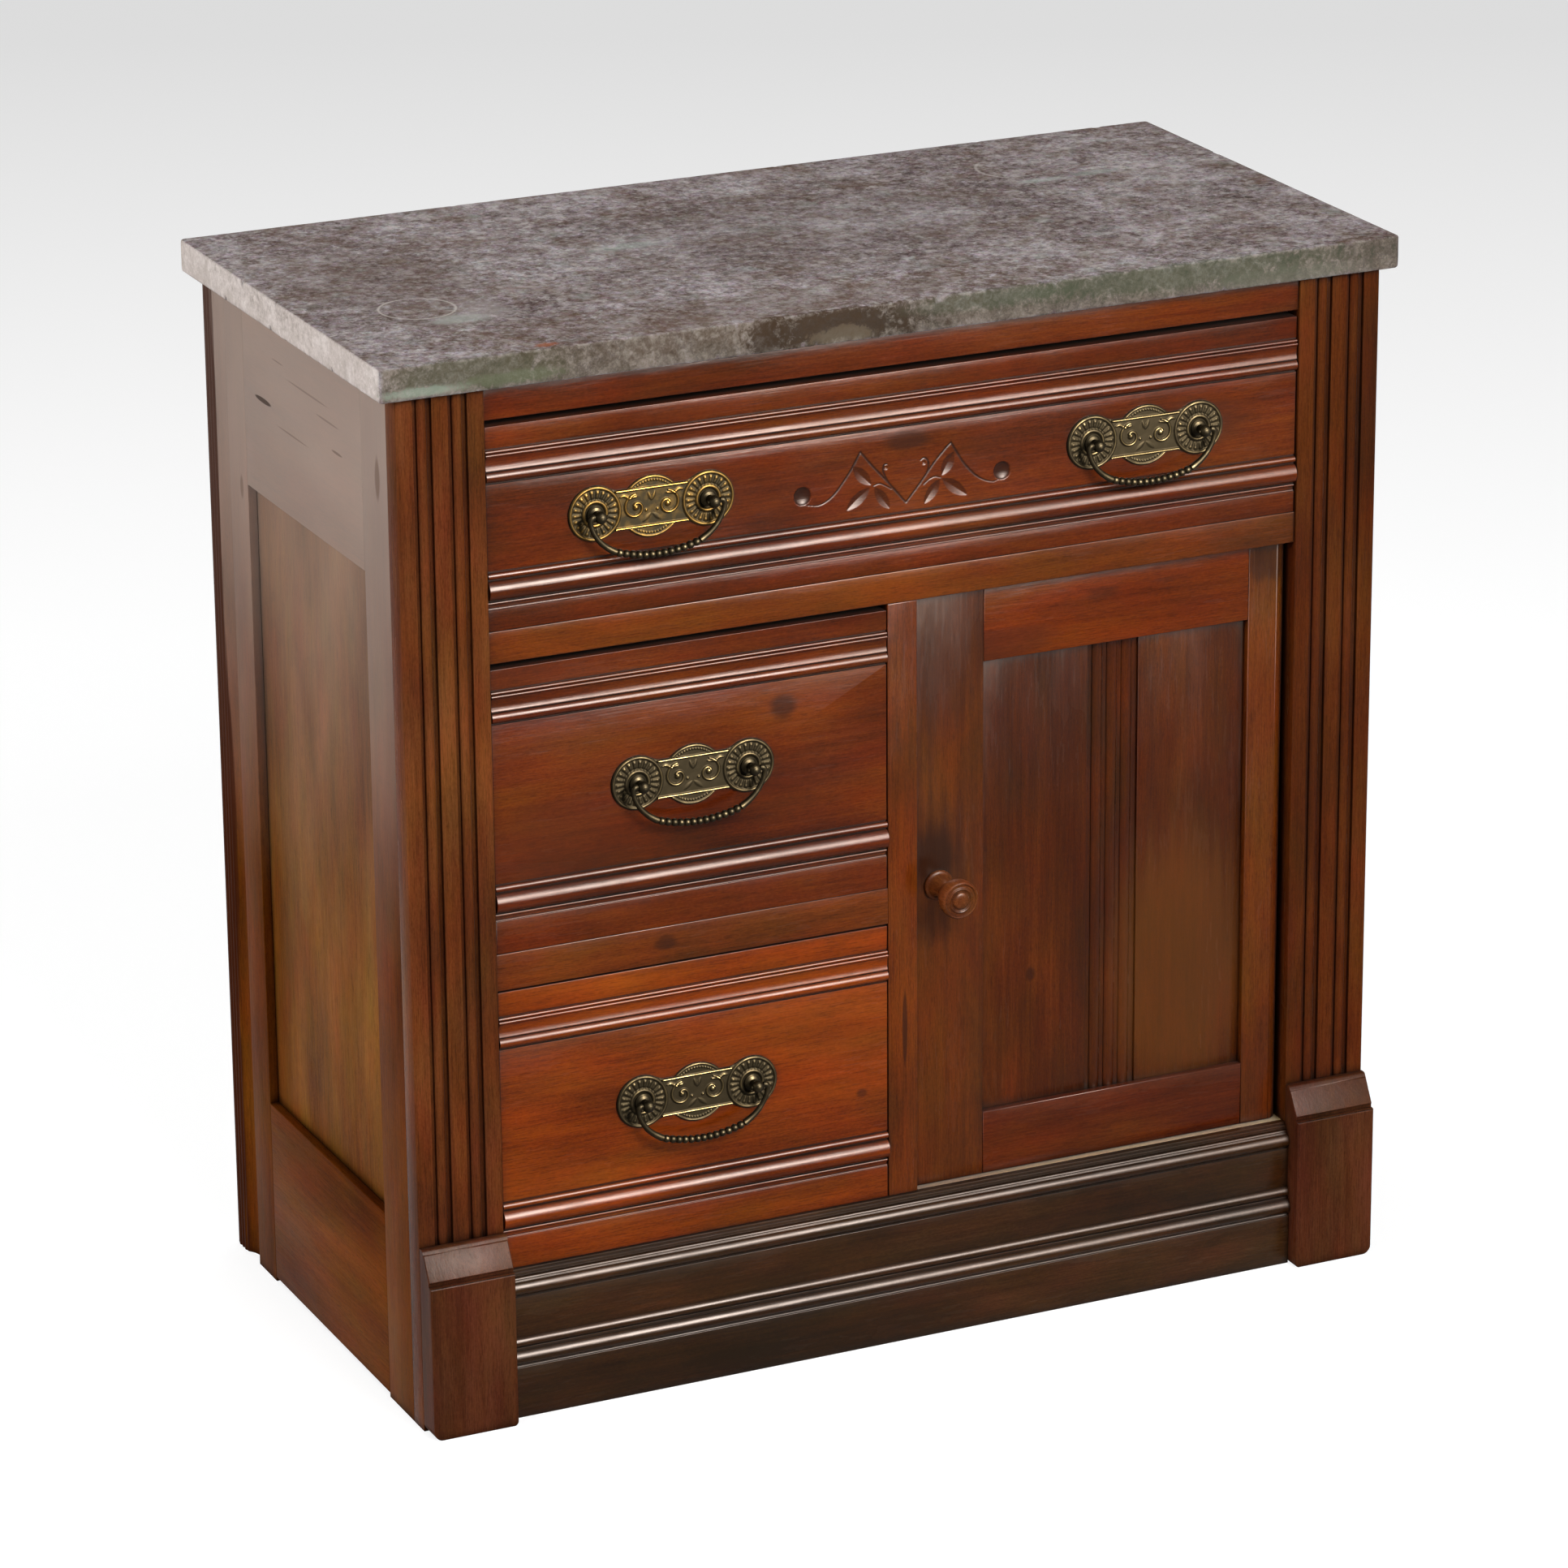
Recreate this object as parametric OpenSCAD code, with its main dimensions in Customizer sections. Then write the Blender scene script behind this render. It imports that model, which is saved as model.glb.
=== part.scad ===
// Washstand chest with a marble top: one long drawer over two small drawers and
// a panelled cupboard, in a frame-and-panel case with fluted pilasters.
// Millimetres. The front faces -Y and the origin is on the floor under the middle.

/* [Case] */
// Depth of the case, from the pilasters' front plane to its back edge
case_d = 364; // [330:1:400]
// Width of the front opening between the two pilasters
front_opening_w = 611; // [570:1:680]
// Width of the small drawers' opening, left of the centre stile
drawer_opening_w = 294.25; // [270:0.25:320]
// Width of the centre stile between the small drawers and the door
centre_stile_w = 22.5; // [18:0.5:32]
// Thickness of the rails and the stile of the front frame
frame_t = 20; // [16:0.5:24]
// How far the front frame lies behind the pilasters' front plane
frame_recess = 2.5; // [1:0.5:5]
// Length of the stub tenons of the front frame
stub_len = 8; // [5:0.5:12]
// Thickness of the stub tenons of the front frame
stub_t = 7; // [5:0.5:9]
// Shoulder above and below a rail's stub tenon
rail_shoulder = 3; // [2:0.5:5]
// Shoulder at each side of the centre stile's stub tenons
stile_shoulder = 4; // [3:0.5:6]
// Shoulder in front of all stub tenons of the front frame
stub_setback = 4; // [3:0.5:6]
// Clearance round a tenon, a tongue or a let-in piece
joint_fit = 0.15; // [0.1:0.05:0.3]

/* [Heights] */
// Height of the moulded base board, up to the cupboard floor
base_h = 107.5; // [96:0.5:130]
// Height of the lower drawer's opening
lower_opening_h = 205; // [180:0.5:240]
// Height of the rail between the two small drawers
lower_divider_h = 26.5; // [20:0.5:34]
// Height of the middle drawer's opening
middle_opening_h = 206.5; // [180:0.5:240]
// Height of the rail under the long drawer
upper_divider_h = 22.5; // [18:0.5:30]
// Height of the long drawer's opening
long_opening_h = 146; // [138:0.5:180]
// Height of the rail under the slab
top_rail_h = 23; // [18:0.5:32]

/* [Marble top] */
// Thickness of the slab
slab_t = 23; // [18:0.5:30]
// Overhang of the slab at each side
slab_side_overhang = 13; // [6:0.5:25]
// Overhang of the slab in front of the pilasters
slab_front_overhang = 6; // [4:0.5:20]
// Overhang of the slab behind the case
slab_back_overhang = 5; // [0:0.5:12]
// Radius of the slab's front corners, seen from above
slab_corner_r = 6; // [3:0.5:12]
// Radius of the slab's polished upper edge
slab_edge_r = 3; // [1:0.5:6]

/* [Pilasters] */
// Width of each pilaster
pilaster_w = 62.5; // [56:0.5:75]
// Thickness of each pilaster board
pilaster_t = 18; // [15:0.5:22]
// Width of each of the two reeds
reed_w = 7.2; // [5:0.1:9]
// Width of the quirk at each side of a reed
quirk_w = 3.2; // [2:0.1:4]
// Depth of the quirks
quirk_d = 3; // [1.5:0.1:4]
// Width of the flat band between the two reeds
reed_gap = 11.5; // [8:0.5:16]

/* [Plinth blocks] */
// Height of each block
block_h = 137; // [120:0.5:160]
// Thickness of each block
block_t = 19.5; // [16:0.5:26]
// Height of the sloping bevel near the top of the block
block_bevel_h = 16.5; // [10:0.5:22]
// Depth of the bevel
block_bevel_d = 9.5; // [6:0.5:12]
// Rounding of the worn lower corners
block_worn_r = 7; // [2:0.5:10]

/* [Base board] */
// Thickness of the base board at its lower band
base_t = 22; // [18:0.5:26]
// How far the lower band stands in front of the pilasters
base_reach = 8.5; // [6:0.5:12]
// Height of the plain lower band
base_band_h = 37.5; // [32:0.5:50]

/* [Sides] */
// Thickness of the stiles and rails of the sides
side_t = 20; // [18:0.5:24]
// Width of the front stile of each side
side_front_stile_w = 45; // [36:0.5:60]
// Width of the rear stile of each side
side_rear_stile_w = 80; // [70:0.5:90]
// Height of the top rail of each side
side_top_rail_h = 134.5; // [100:0.5:170]
// Height of the bottom rail of each side
side_bottom_rail_h = 136; // [125:0.5:160]
// How far the bottom rail is cut up from the floor
side_rail_lift = 3; // [1:0.5:8]
// Thickness of the side panels
side_panel_t = 7; // [6:0.5:9]
// How far the side panels lie behind the frame's face
side_panel_recess = 7; // [5:0.5:9]
// Depth of the groove that holds a panel
panel_groove_d = 8; // [6:0.5:10]
// Width of the cove on the outer face of the rear stile
side_cove_w = 25; // [18:0.5:30]
// Depth of the cove
side_cove_d = 6; // [3:0.5:8]

/* [Back and inside] */
// Thickness of the vertical back boards
back_board_t = 9; // [7:0.5:12]
// Number of back boards
back_boards_n = 4; // [3:1:5]
// Open joint between two back boards
back_board_gap = 1; // [0.4:0.1:2]
// How far the back boards reach into each rear stile
back_rebate_w = 9; // [6:0.5:11]
// Height of the two back rails
back_rail_h = 40; // [30:1:50]
// Thickness of the two back rails
back_rail_t = 20; // [16:0.5:24]
// Thickness of the cupboard floor
floor_t = 14; // [12:0.5:18]
// Depth of the housing of the floor in each side
floor_housing_d = 6; // [4:0.5:8]
// Thickness of the upright partition beside the cupboard
partition_t = 15; // [12:0.5:18]
// Height of the guide strips beside the drawers
guide_h = 32; // [20:1:45]
// Width of the ledge that a drawer side slides on
ledge_w = 16; // [13:0.5:24]
// Thickness of the door stop
stop_t = 7.5; // [6:0.5:10]
// Width of the door stop
stop_w = 14; // [12:0.5:15]

/* [Drawers] */
// Thickness of the drawer fronts at their plain bands
drawer_front_t = 21; // [19:0.5:24]
// Thickness of the drawer sides
drawer_side_t = 11; // [9:0.5:13]
// Thickness of the drawer backs
drawer_back_t = 10; // [8:0.5:14]
// Thickness of the drawer bottoms
drawer_bottom_t = 6; // [4:0.5:8]
// Height of the drawer bottom above the lower edge of its sides
drawer_bottom_lift = 10; // [8:0.5:14]
// Depth of the grooves that hold the drawer bottom
drawer_groove_d = 5; // [4:0.5:6]
// Gap between a drawer front and the frame at each side
drawer_side_gap = 1; // [0.5:0.1:2]
// Gap between a drawer and what it slides on
drawer_slide_gap = 0.3; // [0.2:0.05:0.5]
// Gap above the long drawer's front
long_drawer_top_gap = 4.5; // [1:0.5:6]
// Gap above each small drawer's front
small_drawer_top_gap = 1.2; // [0.5:0.1:3]
// How much lower a drawer's sides are than its front
drawer_side_drop = 8; // [4:0.5:14]
// How far a drawer's back stands in from the rear ends of its sides
drawer_back_inset = 6; // [2:0.5:12]
// How far a drawer's bottom ends before the rear ends of its sides
drawer_bottom_inset = 2; // [0:0.5:5]
// Space between a drawer's end and the back rails or boards
drawer_back_gap = 2.5; // [1.5:0.5:10]
// Height of the plain band under the lower moulding of the long drawer
long_lower_band = 15; // [12:0.5:20]
// Height of the plain band above the upper moulding of the long drawer
long_upper_band = 15; // [12:0.5:20]
// Height of the plain band under the lower moulding of a small drawer
small_lower_band = 23.5; // [15:0.5:32]
// Height of the plain band above the upper moulding of a small drawer
small_upper_band = 17; // [12:0.5:24]
// Height of the large torus moulding
torus_h = 13.8; // [10:0.2:16]
// Projection of the large torus moulding
torus_reach = 4.4; // [3:0.1:6]
// Wood left in front of the dovetails
dovetail_lap = 6.5; // [5:0.5:8]
// Height of one dovetail at its root
dovetail_h = 17; // [12:0.5:22]
// Wood between two dovetails at the root
dovetail_pin = 15; // [9:0.5:20]
// Slope of the dovetails' flanks
dovetail_slope = 0.16; // [0.1:0.01:0.2]

/* [Door] */
// Thickness of the door's frame
door_t = 20; // [18:0.5:22]
// How far the door lies behind the pilasters' front plane
door_recess = 9.5; // [6:0.5:12]
// Gap round the door
door_gap = 0.7; // [0.5:0.1:1.5]
// Width of the door's latch stile
latch_stile_w = 54; // [46:0.5:70]
// Width of the door's hinge stile
hinge_stile_w = 31; // [27:0.5:60]
// Height of the door's top rail
door_top_rail_h = 54; // [40:0.5:70]
// Height of the door's bottom rail
door_bottom_rail_h = 47; // [36:0.5:70]
// Thickness of the door panel
door_panel_t = 7.5; // [6:0.5:9]
// How far the door panel lies behind the door's face
door_panel_recess = 6; // [4:0.5:8]
// Width of each of the three reeds of the door panel
door_reed_w = 8.4; // [6:0.1:11]
// Distance of the pivot axis from the door's face and edge
pivot_inset = 9; // [7:0.5:10]
// Radius of the pivot pins
pivot_pin_r = 2.4; // [1.8:0.1:3]
// Radial clearance of the pivot pins
pivot_fit = 0.06; // [0.03:0.01:0.1]
// Depth of the pivot pins in the door
pivot_pin_len = 9; // [6:0.5:14]
// Length of the pivot plates
pivot_plate_len = 34; // [24:0.5:44]
// Width of the pivot plates
pivot_plate_w = 8; // [6:0.5:8]
// Thickness of the pivot plates
pivot_plate_t = 2; // [1.5:0.1:3]

/* [Knob and latch] */
// Distance of the knob's axis from the door's latch edge
knob_inset = 18.5; // [15:0.5:30]
// Height of the knob's axis above the door's lower edge
knob_z = 224.5; // [120:0.5:320]
// Reach of the knob in front of the door's face
knob_len = 38; // [30:0.5:46]
// Length of the knob's head, with its ringed face
knob_head_len = 17; // [14:0.5:20]
// Radius of the knob's head
knob_head_r = 14; // [11:0.5:17]
// Radius of the knob's neck
knob_neck_r = 6.6; // [5:0.1:8]
// Radius of the flange against the door
knob_flange_r = 11; // [9:0.5:14]
// Radius of the spindle in the latch stile
spindle_r = 5; // [4:0.1:6]
// Radius of the spindle's thinner end, which carries the latch tongue
spindle_end_r = 4; // [3:0.1:4.5]
// Radial clearance of the spindle
spindle_fit = 0.08; // [0.04:0.01:0.1]
// Reach of the latch tongue from the knob's axis
tongue_reach = 22; // [18:0.5:26]
// Width of the latch tongue
tongue_w = 12; // [11.5:0.5:16]
// Thickness of the latch tongue
tongue_t = 6; // [4:0.5:8]

/* [Pulls] */
// Distance between the two posts of a pull
post_spacing = 82.5; // [70:0.5:96]
// Distance of the long drawer's pulls from the middle
pull_offset = 186; // [140:1:220]
// Height of the pulls above the middle of the plain band
pull_rise = 0; // [-4:0.5:4]
// Radius of the round rosettes
rosette_r = 19.2; // [16:0.2:21]
// Thickness of the plate
plate_t = 1.4; // [1:0.1:2]
// Extra height of the raised rims on the plate
rim_rise = 1; // [0.5:0.1:1.5]
// Height of the middle part of the plate
plate_mid_h = 28; // [22:0.5:32]
// Width of the curved lobes above and below the middle
lobe_w = 32; // [24:0.5:38]
// Height of the curved lobes
lobe_h = 6.4; // [4:0.2:8]
// Radius of a post's ball head
ball_r = 4.4; // [3.8:0.1:5.2]
// Distance of the ball's centre in front of the plate's back
ball_reach = 11; // [9.5:0.1:14]
// Radius of a post's collar against the plate
collar_r = 5.8; // [4.8:0.1:7]
// Radius of a post's neck behind the ball
post_neck_r = 2.6; // [2:0.1:3.2]
// Radius of a post's shank in the drawer front
shank_r = 2.2; // [1.8:0.1:2.6]
// Clearance round a post's shank in the plate and the drawer front
shank_fit = 0.1; // [0.05:0.05:0.3]
// Width of the square nuts behind the drawer fronts
nut_w = 9; // [7:0.5:12]
// Thickness of the nuts
nut_t = 3; // [2:0.5:4]
// Radius of the bail's rod
bail_r = 2.1; // [1.8:0.1:2.4]
// Radius of the bail's end pins in the posts
bail_pin_r = 1.5; // [1.2:0.1:1.7]
// Radial clearance of the bail's end pins
bail_fit = 0.07; // [0.03:0.01:0.1]
// Drop of the bail below the posts
bail_drop = 30.5; // [28:0.5:36]
// Radius of the bail's lower corners
bail_corner_r = 18; // [12:0.5:19]
// Number of beads along the bail
bail_beads = 13; // [5:2:17]
// Radius of the beads
bead_r = 2.8; // [2.5:0.1:3.4]

/* [Hidden] */

// Colours of the finishes
oak_red = [0.52, 0.24, 0.11];
warm_wood = [0.62, 0.28, 0.12];
dark_wood = [0.38, 0.22, 0.14];
pale_wood = [0.72, 0.58, 0.40];
marble_grey = [0.58, 0.55, 0.52];
old_brass = [0.48, 0.42, 0.26];

// Heights from the floor
lower_divider_z = base_h + lower_opening_h;
middle_z = lower_divider_z + lower_divider_h;
upper_divider_z = middle_z + middle_opening_h;
long_z = upper_divider_z + upper_divider_h;
top_rail_z = long_z + long_opening_h;
case_h = top_rail_z + top_rail_h;

// Planes across the width, from the middle of the case
case_w = front_opening_w + 2 * pilaster_w;
half_w = case_w / 2;
open_x = front_opening_w / 2;
stile_x0 = -open_x + drawer_opening_w;
stile_x1 = stile_x0 + centre_stile_w;
side_in_x = half_w - side_t;

// Planes along the depth. The origin is in the middle of the whole depth, which
// runs from the foremost of the knob, the blocks and the slab to the slab's back.
front_reach = max(knob_len - door_recess, block_t, slab_front_overhang);
back_reach = case_d + slab_back_overhang;
face_y = (front_reach - back_reach) / 2;
back_y = face_y + case_d;
frame_y = face_y + frame_recess;
frame_back_y = frame_y + frame_t;
stub_y = frame_y + stub_setback;
floor_front_y = stub_y - 1;
side_y = face_y + pilaster_t;
side_front_y1 = side_y + side_front_stile_w;
side_rear_y0 = back_y - side_rear_stile_w;
inner_back_y = back_y - back_board_t - joint_fit;
back_rail_y = inner_back_y - back_rail_t;
door_y = face_y + door_recess;
door_back_y = door_y + door_t;
drawer_back_y = frame_y + drawer_front_t;
drawer_end_y = back_rail_y - drawer_back_gap;
base_back_y = face_y - base_reach + base_t;

// Drawers: left x, right x, lower z, upper z, lower band, upper band
DRAWERS = [
    [-open_x + drawer_side_gap, open_x - drawer_side_gap,
     long_z + drawer_slide_gap, top_rail_z - long_drawer_top_gap,
     long_lower_band, long_upper_band],
    [-open_x + drawer_side_gap, stile_x0 - drawer_side_gap,
     middle_z + drawer_slide_gap, upper_divider_z - small_drawer_top_gap,
     small_lower_band, small_upper_band],
    [-open_x + drawer_side_gap, stile_x0 - drawer_side_gap,
     base_h + drawer_slide_gap, lower_divider_z - small_drawer_top_gap,
     small_lower_band, small_upper_band]
];

// Door planes
door_x0 = stile_x1 + door_gap;
door_x1 = open_x - door_gap;
door_z0 = base_h + door_gap;
door_z1 = upper_divider_z - door_gap;
panel_x0 = door_x0 + latch_stile_w;
panel_x1 = door_x1 - hinge_stile_w;
panel_z0 = door_z0 + door_bottom_rail_h;
panel_z1 = door_z1 - door_top_rail_h;
pivot_x = door_x1 - pivot_inset;
pivot_y = door_y + pivot_inset;
knob_x = door_x0 + knob_inset;
knob_axis_z = door_z0 + knob_z;
stop_y = door_back_y + 2 * joint_fit;
tongue_y = stop_y + stop_t + 2 * joint_fit;

// A moulding is a list of members, each with a width, a base level and a crest
// level. A member is flat where both levels are the same, and else a round arc.
ARC_STEPS = 10;
function total(list, i = 0) = i >= len(list) ? 0 : list[i][0] + total(list, i + 1);
function arc_member(start, m) =
    let (rise = m[2] - m[1],
         size = abs(rise),
         r = (m[0] * m[0] / 4 + size * size) / (2 * size),
         half = asin(min(1, m[0] / (2 * r))))
    [for (k = [0 : ARC_STEPS])
        let (a = half * (2 * k / ARC_STEPS - 1))
        [start + m[0] / 2 + r * sin(a), m[1] + sign(rise) * (r * cos(a) - r + size)]];
function member_points(start, m) =
    m[1] == m[2] ? [[start, m[1]], [start + m[0], m[1]]] : arc_member(start, m);
function moulding(list, start = 0, i = 0) =
    i >= len(list) ? [] :
    concat(member_points(start, list[i]), moulding(list, start + list[i][0], i + 1));
function without_doubles(pts) =
    [for (i = [0 : len(pts) - 1])
        if (i == 0 || norm(pts[i] - pts[i - 1]) > 0.001) pts[i]];

// Members of the drawer fronts, from the bottom up
LOWER_MOULDING = [
    [0.8, -0.9, -0.9],
    [2.4, -1.7, -1.7],
    [2, -0.9, -0.1],
    [0.9, -1.8, -1.8],
    [torus_h, -0.2, torus_reach],
    [1, -1.4, -1.4],
    [4.6, -0.1, 1.7],
    [1.4, -1.5, -1.5]
];
UPPER_MOULDING = [
    [1.2, -1.5, -1.5],
    [7.4, 0, 2.6],
    [0.8, -0.5, -0.5],
    [9.4, 1.1, 0.2],
    [2.2, 1.1, 1.9],
    [2.4, 0.3, 1.1],
    [1.2, -1.2, -1.2]
];

module along_x(length) {
    rotate([90, 0, 90]) linear_extrude(length) children();
}

module along_y(length) {
    rotate([90, 0, 0]) translate([0, 0, -length]) linear_extrude(length) children();
}

module board(low, high) {
    translate(low) cube(high - low);
}

// Draws the left-hand piece, or its mirror image on the right
module on_side(right) {
    mirror([right ? 1 : 0, 0, 0]) children();
}

module marble_top() {
    w = case_w + 2 * slab_side_overhang;
    d = slab_front_overhang + case_d + slab_back_overhang;
    y0 = face_y - slab_front_overhang;
    color(marble_grey)
    intersection() {
        translate([-w / 2, y0, case_h]) linear_extrude(slab_t) slab_outline(w, d);
        translate([-w / 2, 0, case_h]) along_x(w)
            polygon(eased_section(y0, y0 + d, slab_t, slab_edge_r));
        translate([0, y0, case_h]) along_y(d)
            polygon(eased_section(-w / 2, w / 2, slab_t, slab_edge_r));
    }
}

// The slab from above, with its front corners rounded
module slab_outline(w, d) {
    r = slab_corner_r;
    polygon(concat(
        [[0, d]],
        [for (k = [0 : 6]) [r - r * cos(15 * k), r - r * sin(15 * k)]],
        [for (k = [0 : 6]) [w - r + r * sin(15 * k), r - r * cos(15 * k)]],
        [[w, d]]));
}

// A section with rounded upper corners and a slight easing below
function eased_section(a, b, h, r) = concat(
    [[a + 1, 0], [a, 1]],
    [for (k = [0 : 5]) [a + r - r * cos(18 * k), h - r + r * sin(18 * k)]],
    [for (k = [0 : 5]) [b - r + r * sin(18 * k), h - r + r * cos(18 * k)]],
    [[b, 1], [b - 1, 0]]);

// Pilaster members from the outer edge inwards
function pilaster_members() =
    let (group = reed_w + 2 * quirk_w,
         edge = (pilaster_w - 2 * group - reed_gap) / 2)
    [[edge, 0, 0], [quirk_w, -quirk_d, -quirk_d], [reed_w, -1.8, 0],
     [quirk_w, -quirk_d, -quirk_d], [reed_gap, 0, 0],
     [quirk_w, -quirk_d, -quirk_d], [reed_w, -1.8, 0],
     [quirk_w, -quirk_d, -quirk_d], [edge, 0, 0]];

module pilaster(right) {
    front = without_doubles(moulding(pilaster_members()));
    outline = concat([for (p = front) [p[0] - half_w, face_y - p[1]]],
                     [[-open_x, side_y], [-half_w, side_y]]);
    color(oak_red)
    on_side(right) difference() {
        linear_extrude(case_h) polygon(outline);
        rail_mortise(top_rail_z, top_rail_h);
        rail_mortise(upper_divider_z, upper_divider_h);
        if (!right) rail_mortise(lower_divider_z, lower_divider_h);
    }
}

// Pocket in a pilaster's inner edge for a rail's stub tenon
module rail_mortise(z, h) {
    board([-open_x - stub_len - joint_fit, stub_y - joint_fit, z + rail_shoulder - joint_fit],
          [-open_x + 1, stub_y + stub_t + joint_fit, z + h - rail_shoulder + joint_fit]);
}

module plinth_block(right) {
    t = block_t;
    top_fillet = 3.5;
    bevel_z1 = block_h - top_fillet;
    bevel_z0 = bevel_z1 - block_bevel_h;
    bevel_p1 = t - 2.5;
    bevel_p0 = bevel_p1 - block_bevel_d;
    section = [[0, 0], [t, 0], [t, bevel_z0 - 4.5], [t - 0.8, bevel_z0 - 3.4],
               [bevel_p1 - 1.2, bevel_z0 - 3], [bevel_p1 - 1.2, bevel_z0 - 0.8],
               [bevel_p1, bevel_z0], [bevel_p0, bevel_z1], [bevel_p0 - 0.8, bevel_z1 + 1],
               [bevel_p0 - 1.6, block_h - 1], [bevel_p0 - 2.6, block_h], [0, block_h]];
    color(dark_wood)
    on_side(right) intersection() {
        translate([-half_w, 0, 0]) along_x(pilaster_w)
            polygon([for (p = section) [face_y - p[0], p[1]]]);
        translate([-half_w, face_y - t, 0]) along_y(t + 1) block_outline();
    }
}

// Front view of a block, with its lower corners worn round
module block_outline() {
    r = block_worn_r;
    s = block_worn_r / 2;
    polygon(concat(
        [[0, block_h]],
        [for (k = [0 : 5]) [r - r * cos(18 * k), r - r * sin(18 * k)]],
        [for (k = [0 : 5]) [pilaster_w - s + s * sin(18 * k), s - s * cos(18 * k)]],
        [[pilaster_w, block_h]]));
}

// Groove for the side panel, seen in plan from a stile's edge
function side_groove_x0() = -half_w + side_panel_recess - joint_fit;
function side_groove_x1() = -half_w + side_panel_recess + side_panel_t + joint_fit;

module side_front_stile(right) {
    color(oak_red)
    on_side(right) difference() {
        board([-half_w, side_y, 0], [-side_in_x, side_front_y1, case_h]);
        board([side_groove_x0(), side_front_y1 - panel_groove_d - joint_fit, -1],
              [side_groove_x1(), side_front_y1 + 1, case_h + 1]);
        floor_housing();
    }
}

// Outer face of the rear stile: a plain band, a cove, and reeds at the edge
function rear_stile_members() =
    let (reeds = 3,
         reed = 5.4,
         plain = side_rear_stile_w - side_cove_w - 2 - reeds * reed - 2.3)
    [[plain, 0, 0], [side_cove_w, -0.8, -side_cove_d], [2, -0.8, -0.8],
     [reed, -1.2, 0], [reed, -1.2, 0], [reed, -1.2, 0], [2.3, -1, -1]];

module side_rear_stile(right) {
    face = without_doubles(moulding(rear_stile_members(), side_rear_y0));
    groove_y = side_rear_y0 + panel_groove_d + joint_fit;
    rebate_x = -side_in_x - back_rebate_w;
    outline = concat(
        [for (p = face) [-half_w - p[1], p[0]]],
        [[rebate_x, back_y], [rebate_x, inner_back_y], [-side_in_x, inner_back_y],
         [-side_in_x, side_rear_y0], [side_groove_x1(), side_rear_y0],
         [side_groove_x1(), groove_y], [side_groove_x0(), groove_y],
         [side_groove_x0(), side_rear_y0]]);
    color(oak_red)
    on_side(right) difference() {
        linear_extrude(case_h) polygon(outline);
        floor_housing();
    }
}

// A side rail with stub tongues that fill the grooves of the stiles
module side_rail(right, z0, z1, groove_above) {
    tongue_z0 = groove_above ? z0 : z0 + panel_groove_d + joint_fit;
    tongue_z1 = groove_above ? z1 - panel_groove_d - joint_fit : z1;
    groove_z = groove_above ? z1 - panel_groove_d - joint_fit : z0 - 1;
    color(oak_red)
    on_side(right) difference() {
        union() {
            board([-half_w, side_front_y1, z0], [-side_in_x, side_rear_y0, z1]);
            board([side_groove_x0() + joint_fit, side_front_y1 - panel_groove_d, tongue_z0],
                  [side_groove_x1() - joint_fit, side_rear_y0 + panel_groove_d, tongue_z1]);
        }
        board([side_groove_x0(), side_front_y1 - panel_groove_d - 1, groove_z],
              [side_groove_x1(), side_rear_y0 + panel_groove_d + 1,
               groove_z + panel_groove_d + 1 + joint_fit]);
        floor_housing();
    }
}

module side_top_rail(right) {
    side_rail(right, case_h - side_top_rail_h, case_h, false);
}

module side_bottom_rail(right) {
    side_rail(right, side_rail_lift, side_rail_lift + side_bottom_rail_h, true);
}

module side_panel(right) {
    g = panel_groove_d - joint_fit;
    color(oak_red)
    on_side(right)
        board([-half_w + side_panel_recess, side_front_y1 - g,
               side_rail_lift + side_bottom_rail_h - g],
              [-half_w + side_panel_recess + side_panel_t, side_rear_y0 + g,
               case_h - side_top_rail_h + g]);
}

// A front rail between x0 and x1 with a stub tenon at each end
module front_rail(x0, x1, z, h) {
    board([x0, frame_y, z], [x1, frame_back_y, z + h]);
    board([x0 - stub_len, stub_y, z + rail_shoulder],
          [x1 + stub_len, stub_y + stub_t, z + h - rail_shoulder]);
}

module front_top_rail() {
    color(warm_wood) front_rail(-open_x, open_x, top_rail_z, top_rail_h);
}

module upper_divider_rail() {
    color(oak_red)
    difference() {
        front_rail(-open_x, open_x, upper_divider_z, upper_divider_h);
        stile_mortise(upper_divider_z - 1);
        pivot_plate_space(upper_divider_z, 1);
    }
}

module lower_divider_rail() {
    color(oak_red) front_rail(-open_x, stile_x0, lower_divider_z, lower_divider_h);
}

// Pocket for a stub tenon of the centre stile, which starts 1 mm outside the wood
module stile_mortise(z) {
    board([stile_x0 + stile_shoulder - joint_fit, stub_y - joint_fit, z],
          [stile_x1 - stile_shoulder + joint_fit, stub_y + stub_t + joint_fit,
           z + 1 + stub_len + joint_fit]);
}

module centre_stile() {
    color(oak_red)
    difference() {
        union() {
            board([stile_x0, frame_y, base_h], [stile_x1, frame_back_y, upper_divider_z]);
            board([stile_x0 + stile_shoulder, stub_y, base_h - stub_len],
                  [stile_x1 - stile_shoulder, stub_y + stub_t, upper_divider_z + stub_len]);
        }
        board([stile_x0 - 1, stub_y - joint_fit, lower_divider_z + rail_shoulder - joint_fit],
              [stile_x0 + stub_len + joint_fit, stub_y + stub_t + joint_fit,
               lower_divider_z + lower_divider_h - rail_shoulder + joint_fit]);
    }
}

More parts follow.
